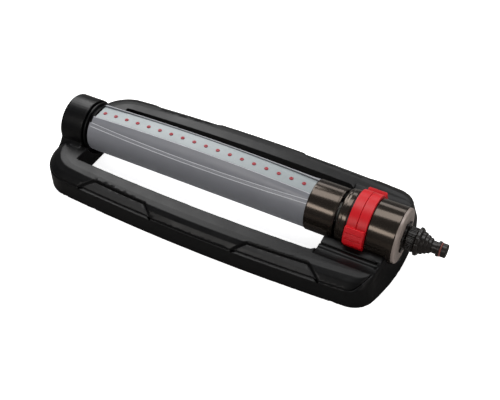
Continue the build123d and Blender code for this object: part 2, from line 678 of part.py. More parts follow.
def gear_housing():
    """Front half of the motor: head with the sleeve bearing, track for the limit rings."""
    inner = TRACK_R - HOUSING_WALL
    spigot_r = COVER_R - COVER_WALL - 0.1
    wall = 5.5
    body = turned([(HEAD_LEFT, SLEEVE_R + RUN_GAP), (HEAD_LEFT, HEAD_R - 2.2),
                   (HEAD_LEFT + 0.7, HEAD_R - 0.9), (HEAD_LEFT + 2.6, HEAD_R - 0.2),
                   (HEAD_LEFT + 5.0, HEAD_R), (HEAD_RIGHT - 0.5, HEAD_R), (HEAD_RIGHT, HEAD_R - 0.5),
                   (HEAD_RIGHT, TRACK_R), (TRACK_RIGHT, TRACK_R), (TRACK_RIGHT, spigot_r),
                   (TRACK_RIGHT + SPIGOT_LEN, spigot_r), (TRACK_RIGHT + SPIGOT_LEN, inner),
                   (HEAD_LEFT + wall, inner), (HEAD_LEFT + wall, SLEEVE_R + RUN_GAP)])
    body -= bar(HEAD_LEFT - 1, HEAD_LEFT + 2.4, SLEEVE_R + 3.4)
    pin_z = AXIS_Z + GEAR_A
    body += bar(HEAD_LEFT + wall - 0.5, OUT_GEAR_X[0] - 3.5, SHAFT_R + 1.2, 0, 0, pin_z) - bar(
        HEAD_LEFT, OUT_GEAR_X[1], SLEEVE_R + 0.6)
    body -= bar(HEAD_LEFT + 3.5, GEARPLATE_LEFT, SHAFT_R, 0, 0, pin_z)
    foot = AXIS_Z - HEAD_R
    boss = Pos(SCREW_X[0], 0, foot + 4.4) * Cylinder(SCREW_BOSS_R, 7.0)
    body += boss
    body -= Pos(SCREW_X[0], 0, foot) * Cylinder(SCREW_R, 15)
    return body


def sleeve_seal():
    """Rubber ring between the head of the motor and the drive sleeve."""
    return bar(HEAD_LEFT, HEAD_LEFT + 2.4, SLEEVE_R + 3.4, SLEEVE_R + RUN_GAP)


def spacer_ring():
    """Black ring that holds the limit rings against the head."""
    return bar(HEAD_RIGHT + 0.1, HEAD_RIGHT + 0.1 + SPACER_T, TRACK_R + 0.9, TRACK_R)


def gear_plate():
    """Bulkhead between gears and turbine, with windows for the water."""
    body = bar(GEARPLATE_LEFT, GEARPLATE_LEFT + GEARPLATE_T, TRACK_R - HOUSING_WALL - 0.05,
               SHAFT_R + RUN_GAP)
    body -= bar(GEARPLATE_LEFT - 1, GEARPLATE_LEFT + 4, SHAFT_R, 0, 0, AXIS_Z + GEAR_A)
    for i in range(4):
        spot = math.radians(225 + 30 * i)
        body -= bar(GEARPLATE_LEFT - 1, GEARPLATE_LEFT + 4, 3.2, 0, 18 * math.cos(spot),
                    AXIS_Z + 18 * math.sin(spot))
    return body


def motor_cover():
    """Rear half of the motor housing."""
    body = turned([(TRACK_RIGHT + 0.1, COVER_R - COVER_WALL), (TRACK_RIGHT + 0.1, COVER_R - 0.5),
                   (TRACK_RIGHT + 0.6, COVER_R), (COVER_RIGHT - 0.5, COVER_R),
                   (COVER_RIGHT, COVER_R - 0.5), (COVER_RIGHT, COVER_R - COVER_WALL)])
    foot = AXIS_Z - COVER_R
    body += Pos(SCREW_X[1], 0, foot + 3.4) * Cylinder(SCREW_BOSS_R, 5.0)
    body -= Pos(SCREW_X[1], 0, foot) * Cylinder(SCREW_R, 14)
    return body


def end_plate():
    """Pale end disc of the motor with a rounded edge."""
    inner_r = COVER_R - COVER_WALL - 0.1
    hole = STUB_R + 0.05
    disc = bar(COVER_RIGHT, COVER_RIGHT + PLATE_T, PLATE_R)
    edge = disc.edges().filter_by(GeomType.CIRCLE).sort_by(Axis.X)[-1]
    disc = fillet(edge, PLATE_EDGE)
    disc += bar(COVER_RIGHT - PLATE_IN, COVER_RIGHT, inner_r, inner_r - 2.5)
    return disc - bar(COVER_RIGHT - PLATE_IN - 1, COVER_RIGHT + PLATE_T + 1, hole)


def jet_plate():
    """Fixed plate with two slanted jets for the two turning directions."""
    body = bar(JET_LEFT, JET_LEFT + JET_T, COVER_R - COVER_WALL - 0.1, SHAFT_R + RUN_GAP)
    for side in (-1, 1):
        body -= Pos(JET_LEFT + JET_T / 2, side * JET_SIDE, AXIS_Z - JET_DOWN) * (
            Rot(0, 90, side * 20) * Cylinder(JET_R, 12))
    body += bar(JET_LEFT - FLAP_T - 2 * FLAP_GAP, JET_LEFT + 0.5, SHAFT_R - 0.1, 0, 0,
                AXIS_Z - FLAP_PIVOT)
    return body


def reversing_flap():
    """Flap in front of the jets, drawn where it covers one of them."""
    z = AXIS_Z - FLAP_PIVOT
    drop = JET_DOWN - FLAP_PIVOT
    reach = math.hypot(JET_SIDE, drop)
    tilt = math.degrees(math.atan2(JET_SIDE, drop))
    right = JET_LEFT - FLAP_GAP
    left = right - FLAP_T
    body = bar(left, right, 2.5, 0, 0, 0)
    body += slab(left, right, -1.3, 1.3, -reach, 0)
    body += bar(left, right, FLAP_R, 0, 0, -reach)
    body -= bar(left - 1, right + 1, SHAFT_R - 0.1 + RUN_GAP, 0, 0, 0)
    return Pos(0, 0, z) * Rot(tilt, 0, 0) * body


def limit_ring(front):
    """Red limit ring with one grip ear; the front one runs in the left half of the track."""
    if front:
        x0 = LIMIT_LEFT
        side = -1
    else:
        x0 = LIMIT_LEFT + LIMIT_W + LIMIT_SPLIT
        side = 1
    body = bar(x0, x0 + LIMIT_W, LIMIT_R, TRACK_R + LIMIT_GAP)
    rims = body.edges().filter_by(GeomType.CIRCLE).filter_by(lambda e: e.radius > LIMIT_R - 0.1)
    body = chamfer(rims, 0.35)
    ear = bar(LIMIT_LEFT, LIMIT_RIGHT, EAR_R)
    ear = fillet(ear.edges().filter_by(GeomType.CIRCLE), EAR_EDGE)
    ear -= bar(LIMIT_LEFT - 1, LIMIT_RIGHT + 1, LIMIT_R - 0.6)
    span = EAR_TO - EAR_FROM
    reach = 2 * EAR_R
    wedge_pts = [(0, 0)]
    for i in range(5):
        a = math.radians(EAR_FROM + span * i / 4)
        wedge_pts.append((side * reach * math.sin(a), reach * math.cos(a)))
    wedge = make_face(Polyline(*[(LIMIT_LEFT - 5, y, AXIS_Z + z) for y, z in wedge_pts], close=True))
    ear = ear & extrude(wedge, 60, dir=(1, 0, 0))
    lift = bar(x0 + LIMIT_W, LIMIT_RIGHT + 2, LIMIT_R + EAR_LIFT)
    if not front:
        lift = bar(LIMIT_LEFT - 2, x0, LIMIT_R + EAR_LIFT)
    ear -= lift
    for i in range(2):
        a = EAR_FROM + span * (0.30 + 0.34 * i)
        rad = math.radians(a)
        groove = Pos(LIMIT_LEFT + LIMIT_W, side * EAR_R * math.sin(rad),
                     AXIS_Z + EAR_R * math.cos(rad)) * Rot(-side * a, 0, 0)
        ear -= groove * Box(2 * LIMIT_W - 4, GRIP_W, 2 * GRIP_DEPTH)
    return body + ear


def cradle_screws():
    """Screws from below that hold the motor in the cradle."""
    screws = Part()
    for x in SCREW_X:
        head_top = AXIS_Z - SADDLE_R - WALL + SCREW_HEAD_T - 0.6
        head = Pos(x, 0, head_top - SCREW_HEAD_T / 2) * Cylinder(SCREW_HEAD_R, SCREW_HEAD_T)
        shank = Pos(x, 0, head_top + SCREW_LEN / 2 - 0.2) * Cylinder(SCREW_R, SCREW_LEN)
        slot = Pos(x, 0, head_top - SCREW_HEAD_T) * Box(4.0, 0.8, 1.2)
        cross = Pos(x, 0, head_top - SCREW_HEAD_T) * Box(0.8, 4.0, 1.2)
        screws += head + shank - slot - cross
    return screws


def inlet_stub():
    """Black hose stub with a lobed flange on the end disc."""
    x0 = COVER_RIGHT + PLATE_T
    x1 = x0 + STUB_FLANGE_T
    body = bar(x0, x1, STUB_FLANGE_R - LOBE_R)
    for i in range(LOBE_N):
        spot = math.radians(30 + 360 * i / LOBE_N)
        r = STUB_FLANGE_R - LOBE_R
        body += bar(x0, x1, LOBE_R, 0, r * math.cos(spot), AXIS_Z + r * math.sin(spot))
    body += bar(COVER_RIGHT - PLATE_IN, x1 + STUB_LEN, STUB_R)
    groove_x = x1 + STUB_LEN - 3.0
    body -= bar(groove_x - CLIP_R - 0.1, groove_x + CLIP_R + 0.1, STUB_R + 1, STUB_R - 0.8)
    return body - bar(COVER_RIGHT - PLATE_IN - 1, x1 + STUB_LEN + 1, STUB_BORE)


def stub_clip():
    """Wire ring in the groove of the stub that keeps the nut on it."""
    x = COVER_RIGHT + PLATE_T + STUB_FLANGE_T + STUB_LEN - 3.0
    return bar(x - CLIP_R, x + CLIP_R, STUB_R + 0.35, STUB_R - 0.75)


def inlet_screen():
    """Sieve disc against grit in the bore of the stub."""
    x = COVER_RIGHT + PLATE_T
    body = bar(x, x + 1.0, STUB_BORE)
    for ring, count in ((1.9, 6), (4.1, 12)):
        for i in range(count):
            spot = 2 * math.pi * i / count
            body -= bar(x - 1, x + 2, 0.55, 0, ring * math.cos(spot), AXIS_Z + ring * math.sin(spot))
    return body


def swivel_nut():
    """Nut that turns freely on the stub and holds the hose adaptor."""
    x0 = NUT_LEFT
    x1 = NUT_RIGHT
    body = bar(x0, x1, NUT_R)
    rims = body.edges().filter_by(GeomType.CIRCLE)
    body = chamfer(rims, 0.6)
    for i in range(NUT_GROOVE_N):
        spot = 2 * math.pi * i / NUT_GROOVE_N
        body -= bar(x0 + 1.4, x1 - 1.4, 0.45, 0, NUT_R * math.cos(spot), AXIS_Z + NUT_R * math.sin(spot))
    groove_x = COVER_RIGHT + PLATE_T + STUB_FLANGE_T + STUB_LEN - 3.0
    body -= bar(x0 - 1, x1 - 3.6, STUB_R + RUN_GAP)
    body -= bar(groove_x - CLIP_R - 0.3, groove_x + CLIP_R + 0.3, STUB_R + 0.6)
    return body - bar(x1 - 3.7, x1 + 1, THREAD_R)


def nut_washer():
    """Flat washer between stub and adaptor."""
    x1 = NUT_RIGHT
    return bar(x1 - 3.6, x1 - 2.4, THREAD_R - 0.1, STUB_BORE - 0.6)


def hose_adaptor():
    """Screwed-in adaptor: scalloped flange, stepped cone and plug for a quick coupling."""
    pts = [(NUT_RIGHT - 2.4, ADAPT_BORE), (NUT_RIGHT - 2.4, THREAD_R), (ADAPT_LEFT, THREAD_R),
           (ADAPT_LEFT, ADAPT_FLANGE_R - 0.7), (ADAPT_LEFT + 0.7, ADAPT_FLANGE_R),
           (CONE_LEFT - 1.4, ADAPT_FLANGE_R - 0.4), (CONE_LEFT, ADAPT_FLANGE_R - 1.8)]
    x = CONE_LEFT
    for r, length in zip(CONE_R, CONE_L):
        pts += [(x, r), (x + length - 0.8, r - 0.3), (x + length, r - 1.1)]
        x += length
    pts += [(LOCK_LEFT, LOCK_R), (STOP_LEFT, LOCK_R), (STOP_LEFT + 0.4, STOP_R),
            (SEAT_LEFT, STOP_R), (SEAT_LEFT, ORING_SEAT_R), (TIP_LEFT, ORING_SEAT_R),
            (TIP_LEFT, TIP_R), (TIP_X - TIP_BEVEL, TIP_R), (TIP_X, TIP_R - TIP_BEVEL),
            (TIP_X, ADAPT_BORE)]
    body = turned(pts)
    for i in range(12):
        spot = 2 * math.pi * i / 12
        r = ADAPT_FLANGE_R + 1.3
        body -= bar(ADAPT_LEFT - 0.5, CONE_LEFT + 0.01, 2.0, 0, r * math.cos(spot),
                    AXIS_Z + r * math.sin(spot))
    return body


def adaptor_oring():
    """O-ring in the seat behind the tip of the plug."""
    x = (SEAT_LEFT + TIP_LEFT) / 2
    ring = Torus(ORING_SEAT_R + ORING_R, ORING_R)
    return Pos(x, 0, AXIS_Z) * Rot(0, 90, 0) * ring


PARTS = {
    "base_shell": base_shell,
    "bearing_bush": bearing_bush,
    "tube_lower": tube_lower,
    "tube_crown": tube_crown,
    "shell_gasket": shell_gasket,
    "nozzle_panel": nozzle_panel,
    "nozzle_strip": nozzle_strip,
    "end_cap": end_cap,
    "tube_collar": tube_collar,
    "drive_sleeve": drive_sleeve,
    "output_gear": output_gear,
    "compound_gear": compound_gear,
    "gear_pin": gear_pin,
    "turbine_pinion": turbine_pinion,
    "turbine_rotor": turbine_rotor,
    "gear_housing": gear_housing,
    "sleeve_seal": sleeve_seal,
    "spacer_ring": spacer_ring,
    "gear_plate": gear_plate,
    "motor_cover": motor_cover,
    "end_plate": end_plate,
    "jet_plate": jet_plate,
    "reversing_flap": reversing_flap,
    "limit_ring_front": lambda: limit_ring(True),
    "limit_ring_rear": lambda: limit_ring(False),
    "cradle_screws": cradle_screws,
    "inlet_stub": inlet_stub,
    "stub_clip": stub_clip,
    "inlet_screen": inlet_screen,
    "swivel_nut": swivel_nut,
    "nut_washer": nut_washer,
    "hose_adaptor": hose_adaptor,
    "adaptor_oring": adaptor_oring,
}


def main():
    """Builds every piece and writes one STEP file each."""
    os.makedirs("parts", exist_ok=True)
    for name, build in PARTS.items():
        shape = Pos(SHIFT_X, 0, 0) * build()
        shape.label = name
        export_step(shape, f"parts/{name}.step")


main()
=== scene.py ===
"""Looks of an oscillating lawn sprinkler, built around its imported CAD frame.

The moulded base, the spray tube, the motor head and the hose inlet are each one class.
Sizes are millimetres in the dataclasses and metres in the meshes.
"""

import json
import logging
import math
from dataclasses import dataclass, field
from enum import Enum
from typing import Callable, Iterable, Sequence

import bmesh
import bpy
import numpy as np
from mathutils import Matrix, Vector

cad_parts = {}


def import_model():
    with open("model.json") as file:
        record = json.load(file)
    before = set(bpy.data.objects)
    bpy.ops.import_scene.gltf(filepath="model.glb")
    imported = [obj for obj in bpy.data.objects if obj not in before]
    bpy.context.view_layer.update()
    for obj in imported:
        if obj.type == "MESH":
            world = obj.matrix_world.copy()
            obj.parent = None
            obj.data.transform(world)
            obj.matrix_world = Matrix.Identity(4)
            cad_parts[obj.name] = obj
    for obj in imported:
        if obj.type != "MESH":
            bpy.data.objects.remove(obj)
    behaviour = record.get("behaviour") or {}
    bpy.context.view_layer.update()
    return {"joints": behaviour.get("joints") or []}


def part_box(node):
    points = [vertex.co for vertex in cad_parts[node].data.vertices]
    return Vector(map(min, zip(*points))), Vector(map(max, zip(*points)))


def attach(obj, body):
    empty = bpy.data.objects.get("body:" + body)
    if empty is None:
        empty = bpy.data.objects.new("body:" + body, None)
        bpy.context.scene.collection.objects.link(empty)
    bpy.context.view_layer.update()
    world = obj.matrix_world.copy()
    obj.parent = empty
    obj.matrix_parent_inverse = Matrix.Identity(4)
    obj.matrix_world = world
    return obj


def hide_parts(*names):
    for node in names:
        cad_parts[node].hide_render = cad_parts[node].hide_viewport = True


LOG = logging.getLogger("sprinkler")
MM = 0.001
FULL_TURN = 2 * math.pi
BASE_LEFT_LENGTH = 210.2
TUBE_MIDDLE_BACK = 35.8

Point = tuple[float, float]
Socket = tuple[str, str]
Profile = Sequence[tuple[float, float, float]]


# ---------------------------------------------------------------- frame helpers

def box_mm(node: str) -> tuple[Vector, Vector]:
    """Gives the lowest and highest corner of a CAD node.

    Args:
        node: Name of the CAD node.

    Returns:
        The two corners in millimetres.
    """
    low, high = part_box(node)
    return low / MM, high / MM


@dataclass(frozen=True)
class Line:
    """The common axis of tube, motor and hose fitting, which lies along X."""

    y: float
    z: float

    @classmethod
    def from_joint(cls, joints: Sequence[dict], name: str) -> "Line":
        """Reads the axis from a joint of the record.

        Args:
            joints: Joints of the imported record.
            name: Name of the joint that turns about the axis.

        Returns:
            The axis in millimetres.
        """
        for joint in joints:
            if joint["name"] == name:
                return cls(joint["pos_m"][1] / MM, joint["pos_m"][2] / MM)
        raise ValueError(f"the record has no joint {name}")

    def at(self, x: float, r: float, angle: float) -> Vector:
        """Gives the point at distance r from the axis; angle 0 is straight up, +Y is negative."""
        return Vector((x, self.y - r * math.sin(angle), self.z + r * math.cos(angle))) * MM


# ---------------------------------------------------------------- mesh helpers

def rounded(profile: Profile, steps: int = 4) -> list[Point]:
    """Rounds the corners of a closed profile.

    Args:
        profile: Corners as (along, radius, rounding), in millimetres.
        steps: Number of segments of each rounding.

    Returns:
        The corners and roundings as (along, radius).
    """
    points: list[Point] = []
    count = len(profile)
    for i, (x, r, size) in enumerate(profile):
        before = Vector(profile[i - 1][:2])
        here = Vector((x, r))
        after = Vector(profile[(i + 1) % count][:2])
        if size <= 0:
            points.append((x, r))
            continue
        to_before = before - here
        to_after = after - here
        reach_b = min(size, to_before.length * 0.49)
        reach_a = min(size, to_after.length * 0.49)
        start = here + to_before.normalized() * reach_b
        end = here + to_after.normalized() * reach_a
        for k in range(steps + 1):
            t = k / steps
            p = start * (1 - t) ** 2 + here * (2 * t * (1 - t)) + end * t ** 2
            points.append((p.x, p.y))
    return points


def mesh_object(name: str, points: Sequence[Vector], faces: Sequence[Sequence[int]],
                sharp_deg: float = 40.0) -> bpy.types.Object:
    """Makes an object of a closed mesh with outward normals.

    Args:
        name: Name of the object.
        points: Vertices in metres.
        faces: Vertex numbers of each face.
        sharp_deg: Edges bent by more than this are shaded sharp.

    Returns:
        The new object, linked to the scene.
    """
    mesh = bpy.data.meshes.new(name)
    mesh.from_pydata([tuple(p) for p in points], [], [tuple(f) for f in faces])
    work = bmesh.new()
    work.from_mesh(mesh)
    bmesh.ops.remove_doubles(work, verts=work.verts, dist=1e-7)
    bmesh.ops.recalc_face_normals(work, faces=work.faces)
    work.to_mesh(mesh)
    work.free()
    return shaded(bpy.data.objects.new(name, mesh), sharp_deg)


def shaded(piece: bpy.types.Object, sharp_deg: float) -> bpy.types.Object:
    """Links an object, shades it smooth and marks its sharp edges."""
    piece.data.polygons.foreach_set("use_smooth", [True] * len(piece.data.polygons))
    piece.data.set_sharp_from_angle(angle=math.radians(sharp_deg))
    if piece.name not in bpy.context.scene.collection.objects:
        bpy.context.scene.collection.objects.link(piece)
    return piece


def loft(name: str, rings: Sequence[Sequence[Vector]], sharp_deg: float = 35.0) -> bpy.types.Object:
    """Skins closed rings of equal length and caps both ends.

    Args:
        name: Name of the object.
        rings: Rings of points in metres, in order.
        sharp_deg: Edges bent by more than this are shaded sharp.

    Returns:
        The new object.
    """
    size = len(rings[0])
    points = [p for ring in rings for p in ring]
    faces: list[tuple[int, ...]] = []
    for i in range(len(rings) - 1):
        for k in range(size):
            a = i * size + k
            b = i * size + (k + 1) % size
            faces.append((a, b, b + size, a + size))
    faces.append(tuple(reversed(range(size))))
    faces.append(tuple(range(len(points) - size, len(points))))
    return mesh_object(name, points, faces, sharp_deg)


def revolve(name: str, profile: Sequence[Point], place: Callable[[float, float, float], Vector],
            segments: int = 160, sharp_deg: float = 35.0) -> bpy.types.Object:
    """Turns a closed profile once round.

    Args:
        name: Name of the object.
        profile: Closed profile as (along, radius), in millimetres.
        place: Gives the point for (along, radius, angle).
        segments: Number of steps round the axis.
        sharp_deg: Edges bent by more than this are shaded sharp.

    Returns:
        The new object.
    """
    size = len(profile)
    points: list[Vector] = []
    faces: list[tuple[int, ...]] = []
    for i in range(segments):
        angle = FULL_TURN * i / segments
        points += [place(along, r, angle) for along, r in profile]
    for i in range(segments):
        j = (i + 1) % segments
        for k in range(size):
            m = (k + 1) % size
            faces.append((i * size + k, j * size + k, j * size + m, i * size + m))
    return mesh_object(name, points, faces, sharp_deg)


def cad_copy(node: str, name: str) -> bpy.types.Object:
    """Copies a CAD node's mesh with its loose triangles joined."""
    source = bpy.data.objects[node]
    piece = bpy.data.objects.new(name, source.data.copy())
    piece.data.name = name
    piece.data.materials.clear()
    bpy.context.scene.collection.objects.link(piece)
    work = bmesh.new()
    work.from_mesh(piece.data)
    bmesh.ops.remove_doubles(work, verts=work.verts, dist=2e-6)
    work.to_mesh(piece.data)
    work.free()
    return piece


def applied(piece: bpy.types.Object) -> bpy.types.Object:
    """Replaces an object's mesh by its mesh with all modifiers applied."""
    graph = bpy.context.evaluated_depsgraph_get()
    mesh = bpy.data.meshes.new_from_object(piece.evaluated_get(graph))
    piece.modifiers.clear()
    piece.data = mesh
    mesh.name = piece.name
    return piece


@dataclass(frozen=True)
class Mould:
    """Turns a copy of a CAD node into one moulded skin with soft edges."""

    voxel: float
    passes: int
    budget: int
    even_passes: int = 3
    hidden_below: float = -0.3
    seen_share: float = 0.35

    def mark_hidden(self, piece: bpy.types.Object) -> str:
        """Marks the undersides, which may be thinned more than what is seen from above.

        Args:
            piece: The fine skin.

        Returns:
            Name of the vertex group.
        """
        group = piece.vertex_groups.new(name="hidden")
        normal = np.empty(len(piece.data.vertices) * 3)
        piece.data.vertex_normals.foreach_get("vector", normal)
        down = normal.reshape(-1, 3)[:, 2] < self.hidden_below
        group.add(np.nonzero(down)[0].tolist(), 1.0, "REPLACE")
        group.add(np.nonzero(~down)[0].tolist(), self.seen_share, "REPLACE")
        return group.name

    def remould(self, node: str, name: str,
                carve: Callable[[bpy.types.Object], None] | None = None) -> bpy.types.Object:
        """Builds the skin.

        Args:
            node: CAD node to copy.
            name: Name of the new piece.
            carve: Optional change of the fine mesh before it is thinned.

        Returns:
            The finished piece.
        """
        piece = cad_copy(node, name)
        remesh = piece.modifiers.new("skin", "REMESH")
        remesh.mode = "VOXEL"
        remesh.voxel_size = self.voxel * MM * 1.0
        remesh.use_smooth_shade = True
        smooth = piece.modifiers.new("soften", "SMOOTH")
        smooth.factor = 0.5
        smooth.iterations = self.passes
        model = cad_copy(node, name + "_model")
        wrap = piece.modifiers.new("true_faces", "SHRINKWRAP")
        wrap.wrap_method = "NEAREST_SURFACEPOINT"
        wrap.target = model
        even = piece.modifiers.new("even_edges", "SMOOTH")
        even.factor = 0.5
        even.iterations = self.even_passes
        applied(piece)
        bpy.data.objects.remove(model)
        if carve:
            carve(piece)
        count = sum(len(p.vertices) - 2 for p in piece.data.polygons)
        if count > self.budget:
            thin = piece.modifiers.new("thin", "DECIMATE")
            thin.ratio = self.budget / count
            thin.vertex_group = self.mark_hidden(piece)
            applied(piece)
        return shaded(piece, 60.0)


# ---------------------------------------------------------------- repeats

class Repeat(Enum):
    """Ways to repeat a small part."""

    ROW = "row_on_arch"
    RING = "ring_round_axis"


class Repeater:
    """Geometry Nodes trees that set out copies of a small part."""

    def __init__(self) -> None:
        """Builds both trees once."""
        self.trees = {Repeat.ROW: self._row_tree(), Repeat.RING: self._ring_tree()}

    @staticmethod
    def _start(kind: Repeat, numbers: Iterable[str]) -> bpy.types.NodeTree:
        """Makes a tree with its sockets and its input and output nodes."""
        tree = bpy.data.node_groups.new(kind.value, "GeometryNodeTree")
        tree.interface.new_socket("Geometry", in_out="OUTPUT", socket_type="NodeSocketGeometry")
        inputs = [("Part", "NodeSocketObject"), ("Finish", "NodeSocketMaterial"), ("Count", "NodeSocketInt")]
        for label, socket in inputs + [(number, "NodeSocketFloat") for number in numbers]:
            tree.interface.new_socket(label, in_out="INPUT", socket_type=socket)
        tree.nodes.new("NodeGroupInput").name = "in"
        tree.nodes.new("NodeGroupOutput").name = "out"
        return tree

    @staticmethod
    def _math(tree: bpy.types.NodeTree, operation: str, a: object, b: object = 0.0) -> object:
        """Adds a math node; a and b are sockets or numbers."""
        node = tree.nodes.new("ShaderNodeMath")
        node.operation = operation
        for slot, value in zip(node.inputs, (a, b)):
            if isinstance(value, bpy.types.NodeSocket):
                tree.links.new(value, slot)
            else:
                slot.default_value = value
        return node.outputs[0]

    @staticmethod
    def _vector(tree: bpy.types.NodeTree, **parts: object) -> object:
        """Joins sockets to a vector; a part that isn't given is zero."""
        node = tree.nodes.new("ShaderNodeCombineXYZ")
        for part, value in parts.items():
            tree.links.new(value, node.inputs[part])
        return node.outputs[0]

    @staticmethod
    def _finish(tree: bpy.types.NodeTree, place: object, turn: object | None = None) -> None:
        """Puts the part on a line of points at the given places and gives it its finish."""
        nodes, links = tree.nodes, tree.links
        given = nodes["in"].outputs
        line = nodes.new("GeometryNodeMeshLine")
        move = nodes.new("GeometryNodeSetPosition")
        info = nodes.new("GeometryNodeObjectInfo")
        put = nodes.new("GeometryNodeInstanceOnPoints")
        real = nodes.new("GeometryNodeRealizeInstances")
        paint = nodes.new("GeometryNodeSetMaterial")
        for start, end in ((given["Count"], line.inputs["Count"]),
                           (line.outputs["Mesh"], move.inputs["Geometry"]),
                           (place, move.inputs["Position"]), (given["Part"], info.inputs["Object"]),
                           (move.outputs["Geometry"], put.inputs["Points"]),
                           (info.outputs["Geometry"], put.inputs["Instance"]),
                           (put.outputs["Instances"], real.inputs["Geometry"]),
                           (real.outputs["Geometry"], paint.inputs["Geometry"]),
                           (given["Finish"], paint.inputs["Material"]),
                           (paint.outputs["Geometry"], nodes["out"].inputs["Geometry"])):
            links.new(start, end)
        if turn is not None:
            links.new(turn, put.inputs["Rotation"])

    def _row_tree(self) -> bpy.types.NodeTree:
        """Copies at an even pitch along X, on an arch that falls off from its middle."""
        tree = self._start(Repeat.ROW, ("Pitch", "First X", "Middle X", "Middle Z", "Drop", "Half Length"))
        given = tree.nodes["in"].outputs
        index = tree.nodes.new("GeometryNodeInputIndex").outputs[0]
        x = self._math(tree, "ADD", given["First X"], self._math(tree, "MULTIPLY", index, given["Pitch"]))
        share = self._math(tree, "DIVIDE", self._math(tree, "SUBTRACT", x, given["Middle X"]),
                           given["Half Length"])
        fall = self._math(tree, "MULTIPLY", self._math(tree, "POWER", share, 2.0), given["Drop"])
        z = self._math(tree, "SUBTRACT", given["Middle Z"], fall)
        self._finish(tree, self._vector(tree, X=x, Z=z))
        return tree

    def _ring_tree(self) -> bpy.types.NodeTree:
        """Copies at even angles round an axis along X, or over a part of the turn."""
        tree = self._start(Repeat.RING, ("Radius", "X", "Axis Z", "First Angle", "Step Angle"))
        given = tree.nodes["in"].outputs
        index = tree.nodes.new("GeometryNodeInputIndex").outputs[0]
        angle = self._math(tree, "ADD", given["First Angle"],
                           self._math(tree, "MULTIPLY", index, given["Step Angle"]))
        side = self._math(tree, "MULTIPLY", self._math(tree, "SINE", angle), given["Radius"])
        up = self._math(tree, "MULTIPLY", self._math(tree, "COSINE", angle), given["Radius"])
        place = self._vector(tree, X=given["X"], Y=self._math(tree, "MULTIPLY", side, -1.0),
                             Z=self._math(tree, "ADD", up, given["Axis Z"]))
        self._finish(tree, place, self._vector(tree, X=angle))
        return tree

    def lay(self, name: str, kind: Repeat, part: bpy.types.Object, finish: bpy.types.Material,
            count: int, **values: float) -> bpy.types.Object:
        """Sets out copies of a part as one plain mesh.

        Args:
            name: Name of the new piece.
            kind: Row or ring.
            part: The part to copy, which is removed afterwards.
            finish: Material of the copies.
            count: Number of copies.
            **values: Other inputs of the tree, with "_" for a space.

        Returns:
            The new piece.
        """
        host = bpy.data.objects.new(name, bpy.data.meshes.new(name))
        bpy.context.scene.collection.objects.link(host)
        modifier = host.modifiers.new("repeat", "NODES")
        modifier.node_group = self.trees[kind]
        given = {"Part": part, "Finish": finish, "Count": count}
        given.update({key.replace("_", " "): value for key, value in values.items()})
        for item in self.trees[kind].interface.items_tree:
            if item.in_out == "INPUT":
                modifier[item.identifier] = given[item.name]
        applied(host)
        bpy.data.objects.remove(part)
        return shaded(host, 40.0)


# ---------------------------------------------------------------- finishes

VECTOR = "NodeSocketVector"
FLOAT = "NodeSocketFloat"


def window(tree: bpy.types.NodeTree, value: object, **limits: float) -> object:
    """Maps a value from one range to another.

    Args:
        tree: Node tree that gets the map.
        value: Socket with the value.
        **limits: Ends of the ranges as From_Min, From_Max, To_Min and To_Max.

    Returns:
        Socket with the result.
    """
    node = tree.nodes.new("ShaderNodeMapRange")
    for label, number in limits.items():
        node.inputs[label.replace("_", " ")].default_value = number
    tree.links.new(value, node.inputs["Value"])
    return node.outputs["Result"]


